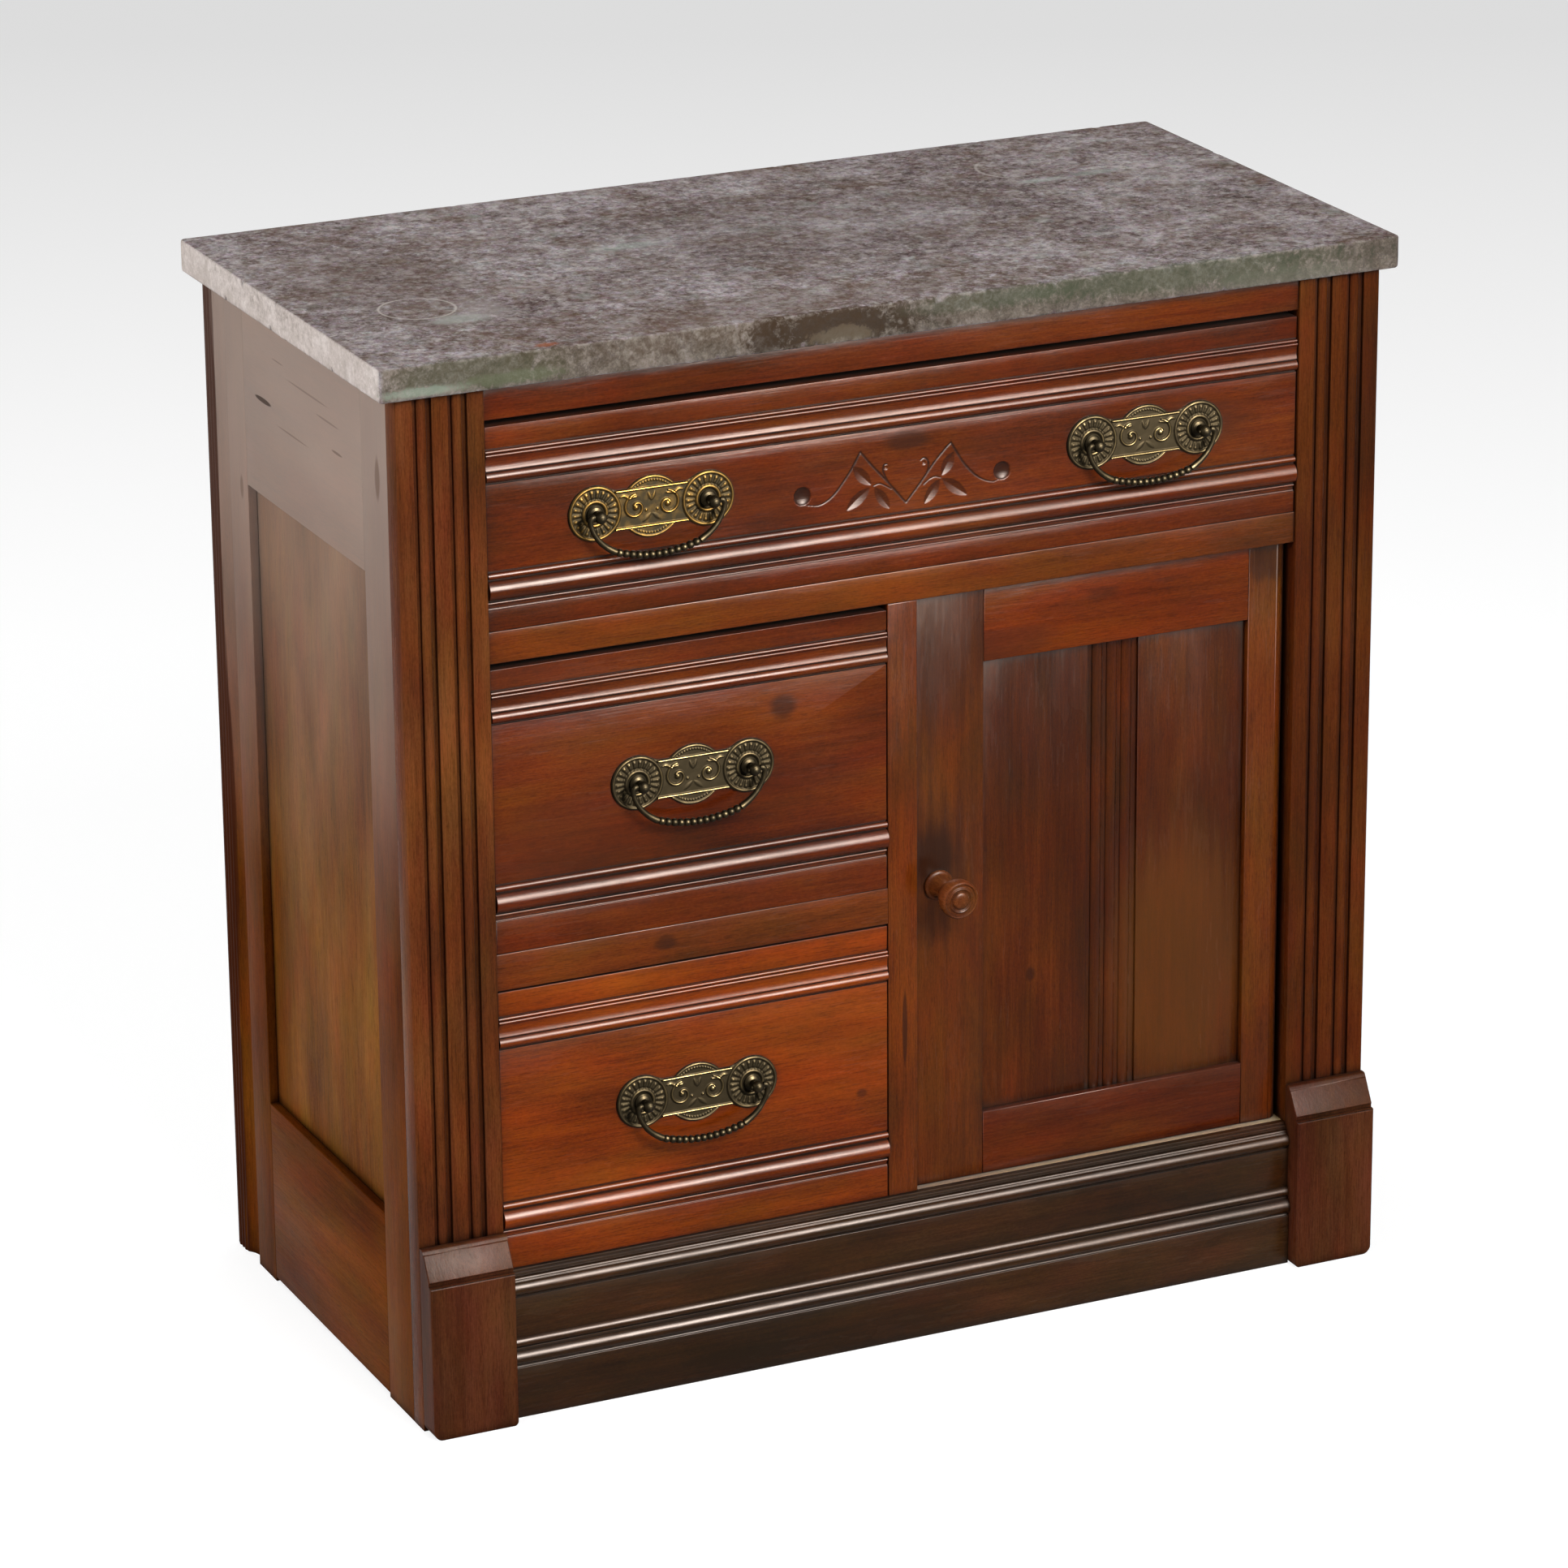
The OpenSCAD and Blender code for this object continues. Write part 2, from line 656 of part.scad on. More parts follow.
// Base board members from the floor up, measured from the pilasters' plane
function base_members() =
    let (low = base_reach,
         mid = base_reach - 3,
         fixed = [[1.2, low - 1.6, low - 1.6], [11, low - 1.8, low + 2.2],
                  [1.6, low - 2.6, low - 2.6], [7.6, mid - 0.6, mid + 2.6]],
         above = [[1.2, mid - 1.2, mid - 1.2], [9.4, mid - 0.4, mid + 2.4],
                  [1, mid - 2.2, mid - 2.2], [3.2, mid - 2.2, mid - 3.4],
                  [1.8, 1.4, 1.4], [2, 0, 0]],
         plain = base_h - base_band_h - total(fixed) - total(above))
    concat([[base_band_h, low, low]], fixed, [[plain, mid, mid]], above);

module base_board() {
    face = without_doubles(moulding(base_members()));
    floor_z = base_h - floor_t - joint_fit;
    outline = concat(
        [for (p = face) [face_y - p[1], p[0]]],
        [[floor_front_y - joint_fit, base_h], [floor_front_y - joint_fit, floor_z],
         [base_back_y, floor_z], [base_back_y, 0]]);
    color(dark_wood)
    translate([-open_x, 0, 0]) along_x(front_opening_w) polygon(outline);
}

module back_rails() {
    color(pale_wood) {
        board([-side_in_x, back_rail_y, case_h - back_rail_h],
              [side_in_x, inner_back_y, case_h]);
        board([-side_in_x, back_rail_y, base_h - floor_t - back_rail_h],
              [side_in_x, inner_back_y, base_h - floor_t]);
    }
}

module back_boards() {
    w = 2 * (side_in_x + back_rebate_w - joint_fit);
    pitch = (w + back_board_gap) / back_boards_n;
    color(pale_wood)
    for (i = [0 : back_boards_n - 1])
        board([-w / 2 + i * pitch, back_y - back_board_t, base_h - floor_t - back_rail_h],
              [-w / 2 + (i + 1) * pitch - back_board_gap, back_y, case_h]);
}

module partition() {
    color(pale_wood)
    board([stile_x0, frame_back_y, base_h], [stile_x0 + partition_t, inner_back_y, long_z]);
}

// The floor of the cupboard and of the lower drawer, housed in both sides
module floor_shape(fit) {
    x = side_in_x + floor_housing_d;
    difference() {
        board([-x - fit, floor_front_y, base_h - floor_t - fit],
              [x + fit, inner_back_y, base_h + fit]);
        for (s = [-1, 1])
            board([min(s * (open_x - fit), s * (x + fit + 1)), floor_front_y - 1, 0],
                  [max(s * (open_x - fit), s * (x + fit + 1)), side_y + joint_fit, base_h + 1]);
    }
}

module floor_housing() {
    floor_shape(joint_fit);
}

module cupboard_floor() {
    color(pale_wood)
    difference() {
        floor_shape(0);
        board([stile_x0 + stile_shoulder - joint_fit, floor_front_y - 1,
               base_h - stub_len - joint_fit],
              [stile_x1 - stile_shoulder + joint_fit, stub_y + stub_t + joint_fit, base_h + 1]);
        pivot_plate_space(base_h - pivot_plate_t - joint_fit, 0);
    }
}

// Runners and guide strips: a pair for the long drawer, a pair for the middle
// drawer, and a guide on the floor beside the lower drawer
module drawer_runners() {
    ledge_x = open_x - drawer_side_gap - ledge_w;
    color(pale_wood) {
        for (right = [false, true])
            on_side(right) runner(ledge_x, long_z, upper_divider_h);
        runner(ledge_x, middle_z, lower_divider_h);
        board([stile_x0 - drawer_side_gap - ledge_w, frame_back_y, middle_z - lower_divider_h],
              [stile_x0, inner_back_y, middle_z]);
        board([-side_in_x, frame_back_y, base_h], [-open_x, back_rail_y, base_h + guide_h]);
    }
}

// One runner with its guide strip, its ledge's top at height z
module runner(ledge_x, z, h) {
    board([-side_in_x, frame_back_y, z - h], [-ledge_x, back_rail_y, z]);
    board([-side_in_x, frame_back_y, z - h], [-open_x, back_rail_y, z + guide_h]);
}

module door_stop() {
    x = stile_x0 + partition_t;
    color(pale_wood)
    board([x, stop_y, base_h], [x + stop_w, stop_y + stop_t, upper_divider_z]);
}

// Dovetails on a drawer side, as outlines in depth and height. Each has a straight
// root that reaches 1 mm behind the drawer front.
function tails_n(h) = floor((h - 8) / (dovetail_h + dovetail_pin));
function tail_z(h, i) =
    let (n = tails_n(h),
         pitch = dovetail_h + dovetail_pin)
    (h - n * pitch + dovetail_pin) / 2 + i * pitch;
module tails(z, h, grow) {
    len = drawer_front_t - dovetail_lap;
    flare = len * dovetail_slope;
    for (i = [0 : tails_n(h) - 1]) {
        z0 = z + tail_z(h, i);
        z1 = z0 + dovetail_h;
        polygon([[drawer_back_y + 1, z0 - grow], [drawer_back_y + 1, z1 + grow],
                 [drawer_back_y, z1 + grow],
                 [drawer_back_y - len - grow, z1 + flare + grow],
                 [drawer_back_y - len - grow, z0 - flare - grow],
                 [drawer_back_y, z0 - grow]]);
    }
}

function side_h(d) = DRAWERS[d][3] - DRAWERS[d][2] - drawer_side_drop;

module drawer_front(d) {
    b = DRAWERS[d];
    band = b[3] - b[2] - total(LOWER_MOULDING) - total(UPPER_MOULDING) - b[4] - b[5];
    members = concat([[b[4], 0, 0]], LOWER_MOULDING, [[band, 0, 0]], UPPER_MOULDING,
                     [[b[5], 0, 0]]);
    face = without_doubles(moulding(members, b[2]));
    bottom_z = b[2] + drawer_bottom_lift;
    color(warm_wood)
    difference() {
        translate([b[0], 0, 0]) along_x(b[1] - b[0])
            polygon(concat([for (p = face) [frame_y - p[1], p[0]]],
                           [[drawer_back_y, b[3]], [drawer_back_y, b[2]]]));
        translate([b[0] - 1, 0, 0]) along_x(drawer_side_t + 1 + joint_fit)
            tails(b[2], side_h(d), joint_fit);
        translate([b[1] - drawer_side_t - joint_fit, 0, 0])
            along_x(drawer_side_t + 1 + joint_fit) tails(b[2], side_h(d), joint_fit);
        board([b[0] + drawer_side_t - drawer_groove_d, drawer_back_y - drawer_groove_d,
               bottom_z - joint_fit],
              [b[1] - drawer_side_t + drawer_groove_d, drawer_back_y + 1,
               bottom_z + drawer_bottom_t + joint_fit]);
        for (p = pull_centres(d), s = [-1, 1])
            translate([p[0] + s * post_spacing / 2, frame_y - 1, p[1]])
                rotate([-90, 0, 0]) cylinder(h = drawer_front_t + 2, r = shank_r + shank_fit, $fn = 48);
    }
}

module drawer_side(d, right) {
    b = DRAWERS[d];
    x0 = right ? b[1] - drawer_side_t : b[0];
    groove_x0 = right ? x0 - 1 : x0 + drawer_side_t - drawer_groove_d;
    bottom_z = b[2] + drawer_bottom_lift;
    color(pale_wood)
    difference() {
        union() {
            board([x0, drawer_back_y, b[2]],
                  [x0 + drawer_side_t, drawer_end_y, b[2] + side_h(d)]);
            translate([x0, 0, 0]) along_x(drawer_side_t) tails(b[2], side_h(d), 0);
        }
        board([groove_x0, drawer_back_y - drawer_front_t, bottom_z - joint_fit],
              [groove_x0 + drawer_groove_d + 1, drawer_end_y + 1,
               bottom_z + drawer_bottom_t + joint_fit]);
    }
}

module drawer_back(d) {
    b = DRAWERS[d];
    y = drawer_end_y - drawer_back_inset;
    z0 = b[2] + drawer_bottom_lift + drawer_bottom_t;
    color(pale_wood)
    board([b[0] + drawer_side_t, y - drawer_back_t, z0],
          [b[1] - drawer_side_t, y, b[2] + side_h(d)]);
}

module drawer_bottom(d) {
    b = DRAWERS[d];
    g = drawer_groove_d - joint_fit;
    z0 = b[2] + drawer_bottom_lift;
    color(pale_wood)
    board([b[0] + drawer_side_t - g, drawer_back_y - g, z0],
          [b[1] - drawer_side_t + g, drawer_end_y - drawer_bottom_inset,
           z0 + drawer_bottom_t]);
}

// Plan of a door stile's groove: it takes the panel and the rails' tongues
function door_groove_y0() = door_y + door_panel_recess - joint_fit;
function door_groove_y1() = door_y + door_panel_recess + door_panel_t + joint_fit;

module door_latch_stile() {
    color(oak_red)
    difference() {
        board([door_x0, door_y, door_z0], [panel_x0, door_back_y, door_z1]);
        board([panel_x0 - panel_groove_d - joint_fit, door_groove_y0(), door_z0 - 1],
              [panel_x0 + 1, door_groove_y1(), door_z1 + 1]);
        translate([knob_x, door_y - 1, knob_axis_z])
            rotate([-90, 0, 0]) cylinder(h = door_t + 2, r = spindle_r + spindle_fit, $fn = 64);
    }
}

// The hinge edge is round about the pivot axis, so it clears the pilaster
module door_hinge_stile() {
    color(oak_red)
    difference() {
        translate([0, 0, door_z0]) linear_extrude(door_z1 - door_z0) union() {
            translate([panel_x1, door_y]) square([pivot_x - panel_x1, door_t]);
            translate([pivot_x, pivot_y]) square([pivot_inset, door_t - pivot_inset]);
            translate([pivot_x, pivot_y]) circle(r = pivot_inset, $fn = 96);
        }
        board([panel_x1 - 1, door_groove_y0(), door_z0 - 1],
              [panel_x1 + panel_groove_d + joint_fit, door_groove_y1(), door_z1 + 1]);
        for (z = [door_z0, door_z1 - pivot_plate_t - joint_fit]) pivot_plate_space(z, 0);
        for (z = [door_z0 - 1, door_z1 - pivot_pin_len - 1])
            pivot_pin_space(z, pivot_pin_len + 2);
    }
}

// A door rail with stub tongues in the stiles and a groove for the panel
module door_rail(z0, z1, groove_above) {
    groove_z = groove_above ? z1 - panel_groove_d - joint_fit : z0 - 1;
    tongue_z0 = groove_above ? z0 : z0 + panel_groove_d + joint_fit;
    tongue_z1 = groove_above ? z1 - panel_groove_d - joint_fit : z1;
    color(warm_wood)
    difference() {
        union() {
            board([panel_x0, door_y, z0], [panel_x1, door_back_y, z1]);
            board([panel_x0 - panel_groove_d, door_groove_y0() + joint_fit, tongue_z0],
                  [panel_x1 + panel_groove_d, door_groove_y1() - joint_fit, tongue_z1]);
        }
        board([panel_x0 - panel_groove_d - 1, door_groove_y0(), groove_z],
              [panel_x1 + panel_groove_d + 1, door_groove_y1(),
               groove_z + panel_groove_d + 1 + joint_fit]);
        pivot_plate_space(groove_above ? z0 : z1 - pivot_plate_t - joint_fit, 0);
    }
}

module door_top_rail() {
    door_rail(panel_z1, door_z1, false);
}

module door_bottom_rail() {
    door_rail(door_z0, panel_z0, true);
}

// Door panel members across its width, with three reeds in the middle
function door_panel_members(w) =
    let (quirk = 3.2,
         reeds = [[4.2, -2.4, -2.4], [door_reed_w, -1.9, 0], [quirk, -2.4, -2.4],
                  [door_reed_w, -1.9, 0], [quirk, -2.4, -2.4], [door_reed_w, -1.9, 0],
                  [4.2, -2.4, -2.4]],
         plain = (w - total(reeds)) / 2)
    concat([[plain, 0, 0]], reeds, [[plain, 0, 0]]);

module door_panel() {
    g = panel_groove_d - joint_fit;
    x0 = panel_x0 - g;
    w = panel_x1 - panel_x0 + 2 * g;
    y = door_y + door_panel_recess;
    face = without_doubles(moulding(door_panel_members(w), x0));
    color(dark_wood)
    translate([0, 0, panel_z0 - g]) linear_extrude(panel_z1 - panel_z0 + 2 * g)
        polygon(concat([for (p = face) [p[0], y - p[1]]],
                       [[x0 + w, y + door_panel_t], [x0, y + door_panel_t]]));
}

// A pivot plate lies along the door's edge, round the pivot axis
module pivot_plate(z) {
    r = pivot_plate_w / 2;
    translate([0, 0, z]) linear_extrude(pivot_plate_t) union() {
        translate([pivot_x, pivot_y]) circle(r = r, $fn = 48);
        translate([pivot_x - pivot_plate_len + r, pivot_y - r])
            square([pivot_plate_len - r, pivot_plate_w]);
    }
}

// Pocket for a pivot plate, open by below on the under side
module pivot_plate_space(z, below) {
    r = pivot_plate_w / 2 + joint_fit;
    translate([0, 0, z - below]) linear_extrude(pivot_plate_t + joint_fit + below) union() {
        translate([pivot_x, pivot_y]) circle(r = r, $fn = 48);
        translate([pivot_x - pivot_plate_len + pivot_plate_w / 2 - joint_fit, pivot_y - r])
            square([pivot_plate_len - pivot_plate_w / 2 + joint_fit, 2 * r]);
    }
}

module pivot_pin_space(z, h) {
    translate([pivot_x, pivot_y, z])
        cylinder(h = h, r = pivot_pin_r + pivot_fit, $fn = 48);
}

// Plates in the rail above and the floor below, each with its pin
module case_pivot_plates() {
    color(old_brass) {
        pivot_plate(upper_divider_z);
        translate([pivot_x, pivot_y, door_z1 - pivot_pin_len])
            cylinder(h = upper_divider_z - door_z1 + pivot_pin_len + 1, r = pivot_pin_r, $fn = 48);
        pivot_plate(base_h - pivot_plate_t);
        translate([pivot_x, pivot_y, base_h - 1])
            cylinder(h = door_z0 - base_h + pivot_pin_len + 1, r = pivot_pin_r, $fn = 48);
    }
}

module door_pivot_plates() {
    color(old_brass)
    difference() {
        union() {
            pivot_plate(door_z0);
            pivot_plate(door_z1 - pivot_plate_t);
        }
        pivot_pin_space(door_z0 - 1, door_z1 - door_z0 + 2);
    }
}

// Turned knob: flange, neck, swelling head, ringed face and a long spindle
module door_knob() {
    r = knob_head_r;
    d = knob_len;
    head_d0 = d - knob_head_len;
    face_d = d - 2;
    neck_d = 4.5;
    neck_end_r = knob_neck_r + 1.8;
    tongue_end = tongue_y + tongue_t - door_y;
    neck = [for (k = [0 : 8])
        let (a = 180 * k / 8)
        [neck_end_r - (neck_end_r - knob_neck_r) * sin(a),
         neck_d + (head_d0 - neck_d) * k / 8]];
    head = [for (k = [1 : 12])
        let (a = 150 * k / 12)
        [neck_end_r + (r - neck_end_r) * sin(min(a, 90)) * (a > 90 ? cos((a - 90) * 0.45) : 1),
         head_d0 + (face_d - head_d0) * k / 12]];
    section = concat(
        [[0, -tongue_end], [spindle_end_r, -tongue_end],
         [spindle_end_r, joint_fit - tongue_end + tongue_t],
         [spindle_r, joint_fit - tongue_end + tongue_t],
         [spindle_r, joint_fit], [knob_flange_r - 0.6, joint_fit],
         [knob_flange_r, joint_fit + 0.6], [knob_flange_r, 2], [knob_flange_r - 1, 3],
         [knob_neck_r + 2.6, 3.4]],
        neck, head,
        [[r - 2.6, d - 1.6], [r - 3.4, d - 1.6], [r - 4, d - 0.8],
         [r * 0.49, d - 0.6], [r * 0.46, d - 1.4], [r * 0.42, d - 1.4],
         [r * 0.39, d - 0.2], [0, d]]);
    color(oak_red)
    translate([knob_x, door_y, knob_axis_z]) rotate([90, 0, 0])
        rotate_extrude($fn = 96) polygon(section);
}

// The latch tongue hangs down while the door is free, and turns behind the stop
module latch_tongue() {
    r = tongue_w / 2;
    color(pale_wood)
    translate([knob_x, tongue_y + tongue_t, knob_axis_z]) rotate([90, 0, 0])
    difference() {
        linear_extrude(tongue_t) union() {
            circle(r = r, $fn = 64);
            translate([-r, -tongue_reach]) square([tongue_w, tongue_reach]);
        }
        translate([0, 0, -1]) cylinder(h = tongue_t + 2, r = spindle_end_r + 0.05, $fn = 64);
    }
}

// Centres of a drawer's pulls in width and height
function pull_centres(d) =
    let (b = DRAWERS[d],
         z0 = b[2] + b[4] + total(LOWER_MOULDING),
         z1 = b[3] - b[5] - total(UPPER_MOULDING),
         z = (z0 + z1) / 2 + pull_rise,
         mid = (b[0] + b[1]) / 2)
    d == 0 ? [[-pull_offset, z], [pull_offset, z]] : [[mid, z]];

module plate_outline() {
    r = (lobe_w * lobe_w / 4 + lobe_h * lobe_h) / (2 * lobe_h);
    for (s = [-1, 1]) {
        translate([s * post_spacing / 2, 0]) circle(r = rosette_r, $fn = 96);
        translate([0, s * (plate_mid_h / 2 + lobe_h - r)]) intersection() {
            circle(r = r, $fn = 120);
            translate([-lobe_w / 2, s > 0 ? 0 : -r]) square([lobe_w, r]);
        }
    }
    square([post_spacing - rosette_r, plate_mid_h], center = true);
}

// Ring standing on the plate
module plate_ring(r, w, h) {
    difference() {
        cylinder(h = h, r = r, $fn = 96);
        translate([0, 0, -1]) cylinder(h = h + 2, r = r - w, $fn = 96);
    }
}

module pull_plates(d) {
    straight = post_spacing - 2 * sqrt(rosette_r * rosette_r - plate_mid_h * plate_mid_h / 4);
    color(old_brass)
    for (p = pull_centres(d))
        translate([p[0], frame_y, p[1]]) rotate([90, 0, 0]) difference() {
            union() {
                linear_extrude(plate_t) plate_outline();
                for (s = [-1, 1]) {
                    translate([s * post_spacing / 2, 0, 0]) {
                        plate_ring(rosette_r, 1.8, plate_t + rim_rise);
                        plate_ring(9.2, 1.6, plate_t + rim_rise);
                    }
                    translate([-straight / 2, s * (plate_mid_h / 2 - 0.8) - 0.8, 0])
                        cube([straight, 1.6, plate_t + rim_rise]);
                }
            }
            for (s = [-1, 1])
                translate([s * post_spacing / 2, 0, -1])
                    cylinder(h = plate_t + 3, r = shank_r + shank_fit, $fn = 48);
        }
}

// Posts: a ball head with a cross hole, a collar on the plate, a shank through
// the drawer front and a square nut behind it
module pull_posts(d) {
    ball_z = ball_reach;
    nut_z = -drawer_front_t - joint_fit - nut_t;
    section = concat(
        [[0, nut_z - 2], [shank_r, nut_z - 2], [shank_r, plate_t],
         [collar_r - 0.2, plate_t], [collar_r, plate_t + 0.8],
         [collar_r * 0.8, plate_t + 1.8], [post_neck_r + 0.4, plate_t + 2.6],
         [post_neck_r, ball_z - ball_r * 0.82]],
        [for (k = [0 : 10])
            let (a = -54 + 144 * k / 10)
            [ball_r * cos(a), ball_z + ball_r * sin(a)]]);
    color(old_brass)
    for (p = pull_centres(d), s = [-1, 1])
        translate([p[0] + s * post_spacing / 2, frame_y, p[1]]) rotate([90, 0, 0])
        difference() {
            union() {
                rotate_extrude($fn = 64) polygon(section);
                translate([-nut_w / 2, -nut_w / 2, nut_z]) cube([nut_w, nut_w, nut_t]);
            }
            translate([-ball_r - 1, 0, ball_z]) rotate([0, 90, 0])
                cylinder(h = 2 * ball_r + 2, r = bail_pin_r + bail_fit, $fn = 48);
        }
}

// The bail's rod, from the middle of its drop outwards: a wide arc with beads, a
// corner, a leaning arm and an elbow that points inwards at the post's ball.
// A station of the rod is [across, down, direction, radius].
arc_angle = 22;
arm_angle = 72;
elbow_r = bail_r + 0.6;
rod_end_x = post_spacing / 2 + ball_r + 0.3;
corner_w = bail_corner_r * (sin(arm_angle) - sin(arc_angle));
corner_h = bail_corner_r * (cos(arc_angle) - cos(arm_angle));
elbow_w = elbow_r * sin(arm_angle);
elbow_h = elbow_r * (1 + cos(arm_angle));
arm_cot = 1 / tan(arm_angle);
arc_w = (rod_end_x + elbow_w - corner_w - arm_cot * (bail_drop - corner_h - elbow_h))
        / (1 - arm_cot * tan(arc_angle / 2));
arc_r = arc_w / sin(arc_angle);
arc_h = arc_w * tan(arc_angle / 2);
BEAD_STEPS = 4;
ROD_SIDES = 10;
function bead_radius(k) =
    bail_r + (bead_r - bail_r) * sqrt(abs(sin(180 * (k % BEAD_STEPS) / BEAD_STEPS)));
function bead_stations() =
    let (n = bail_beads * BEAD_STEPS,
         reach = arc_angle * 0.92)
    [for (k = [0 : n])
        let (a = reach * (2 * k / n - 1))
        [arc_r * sin(a), arc_r * (1 - cos(a)) - bail_drop, a, bead_radius(k)]];
function side_stations() =
    let (corner_x = arc_w - bail_corner_r * sin(arc_angle),
         corner_z = arc_h - bail_drop + bail_corner_r * cos(arc_angle),
         elbow_z = -elbow_r)
    concat(
        [for (a = [arc_angle : (arm_angle - arc_angle) / 4 : arm_angle])
            [corner_x + bail_corner_r * sin(a), corner_z - bail_corner_r * cos(a), a, bail_r]],
        [for (a = [arm_angle : (180 - arm_angle) / 4 : 180])
            [rod_end_x + elbow_r * sin(a), elbow_z - elbow_r * cos(a), a, bail_r]]);
function reversed(list) = [for (i = [len(list) - 1 : -1 : 0]) list[i]];
function rod_stations() =
    let (right = side_stations(),
         left = [for (q = reversed(right)) [-q[0], q[1], -q[2], q[3]]])
    concat(left, bead_stations(), right);

module rod(stations) {
    n = len(stations);
    m = ROD_SIDES;
    points = [for (q = stations, k = [0 : m - 1])
        let (u = q[3] * cos(360 * k / m),
             v = q[3] * sin(360 * k / m))
        [q[0] - u * sin(q[2]), v, q[1] + u * cos(q[2])]];
    sides = [for (i = [0 : n - 2], k = [0 : m - 1], half = [0, 1])
        let (a = i * m + k,
             b = i * m + (k + 1) % m)
        half == 0 ? [a, b, b + m] : [a, b + m, a + m]];
    ends = [[for (k = [m - 1 : -1 : 0]) k], [for (k = [0 : m - 1]) (n - 1) * m + k]];
    polyhedron(points, concat(sides, ends));
}

module bail(d, i) {
    p = pull_centres(d)[i];
    pin_len = 2 * ball_r + 0.8;
    color(old_brass)
    translate([p[0], frame_y - ball_reach, p[1]]) {
        rod(rod_stations());
        for (s = [-1, 1])
            translate([s * (rod_end_x + 1), 0, 0]) rotate([0, -90 * s, 0])
                cylinder(h = pin_len + 1, r = bail_pin_r, $fn = 48);
    }
}

marble_top();
pilaster(false);  // left_pilaster
pilaster(true);  // right_pilaster
plinth_block(false);  // left_plinth_block
plinth_block(true);  // right_plinth_block
side_front_stile(false);  // left_side_front_stile
side_rear_stile(false);  // left_side_rear_stile
side_top_rail(false);  // left_side_top_rail
side_bottom_rail(false);  // left_side_bottom_rail
side_panel(false);  // left_side_panel
side_front_stile(true);  // right_side_front_stile
side_rear_stile(true);  // right_side_rear_stile
side_top_rail(true);  // right_side_top_rail
side_bottom_rail(true);  // right_side_bottom_rail
side_panel(true);  // right_side_panel
front_top_rail();
upper_divider_rail();
lower_divider_rail();
centre_stile();
base_board();
back_rails();
back_boards();
partition();
cupboard_floor();
drawer_runners();
door_stop();
drawer_front(0);  // long_drawer_front
drawer_side(0, false);  // long_drawer_left_side
drawer_side(0, true);  // long_drawer_right_side
drawer_back(0);  // long_drawer_back
drawer_bottom(0);  // long_drawer_bottom
drawer_front(1);  // middle_drawer_front
drawer_side(1, false);  // middle_drawer_left_side
drawer_side(1, true);  // middle_drawer_right_side
drawer_back(1);  // middle_drawer_back
drawer_bottom(1);  // middle_drawer_bottom
drawer_front(2);  // lower_drawer_front
drawer_side(2, false);  // lower_drawer_left_side
drawer_side(2, true);  // lower_drawer_right_side
drawer_back(2);  // lower_drawer_back
drawer_bottom(2);  // lower_drawer_bottom
door_latch_stile();
door_hinge_stile();
door_top_rail();
door_bottom_rail();
door_panel();
case_pivot_plates();
door_pivot_plates();
door_knob();
latch_tongue();
pull_plates(0);  // long_drawer_pull_plates
pull_plates(1);  // middle_drawer_pull_plate
pull_plates(2);  // lower_drawer_pull_plate
pull_posts(0);  // long_drawer_pull_posts
pull_posts(1);  // middle_drawer_pull_posts
pull_posts(2);  // lower_drawer_pull_posts
bail(0, 0);  // left_bail
bail(0, 1);  // right_bail
bail(1, 0);  // middle_bail
bail(2, 0);  // lower_bail
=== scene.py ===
"""Dresses the washstand chest: a mottled marble slab on a varnished hardwood case with
moulded drawers, a reeded door and antique brass bail pulls.

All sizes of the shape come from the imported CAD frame, in metres. A length in millimetres
is written as value * MM, and classes whose fields are plain millimetres say so.
"""

from __future__ import annotations

import logging
import math
from dataclasses import dataclass, field
from enum import Enum
from typing import Iterable, Sequence

import bmesh
import bpy
import numpy as np
from mathutils import Matrix, Vector, noise


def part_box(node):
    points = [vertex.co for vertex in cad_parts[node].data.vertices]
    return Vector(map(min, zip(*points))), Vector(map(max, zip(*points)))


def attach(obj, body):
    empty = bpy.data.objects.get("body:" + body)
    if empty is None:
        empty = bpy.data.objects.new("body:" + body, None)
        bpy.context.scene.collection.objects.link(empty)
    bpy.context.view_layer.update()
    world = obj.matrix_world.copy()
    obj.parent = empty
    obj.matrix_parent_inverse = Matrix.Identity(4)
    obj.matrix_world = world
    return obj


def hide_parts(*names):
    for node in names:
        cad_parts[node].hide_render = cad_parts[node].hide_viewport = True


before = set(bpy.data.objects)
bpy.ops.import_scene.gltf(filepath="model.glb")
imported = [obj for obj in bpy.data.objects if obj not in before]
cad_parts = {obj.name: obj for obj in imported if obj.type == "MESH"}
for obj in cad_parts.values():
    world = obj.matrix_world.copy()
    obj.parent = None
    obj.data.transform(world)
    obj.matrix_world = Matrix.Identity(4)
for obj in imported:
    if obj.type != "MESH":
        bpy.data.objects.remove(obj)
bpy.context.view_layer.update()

log = logging.getLogger("washstand")
MM = 0.001

Node = bpy.types.Node
Socket = bpy.types.NodeSocket
Tree = bpy.types.NodeTree
Place = tuple[float, float, float]


# --------------------------------------------------------------------------- basics


def linear(srgb: str) -> tuple[float, float, float, float]:
    """Turns a colour as written, such as "#7A3A1C", into linear light.

    Args:
        srgb: The colour in sRGB hex.

    Returns:
        Red, green, blue and alpha for a shader socket.
    """
    parts = [int(srgb[i : i + 2], 16) / 255 for i in (1, 3, 5)]
    lit = [p / 12.92 if p <= 0.04045 else ((p + 0.055) / 1.055) ** 2.4 for p in parts]
    return (lit[0], lit[1], lit[2], 1.0)


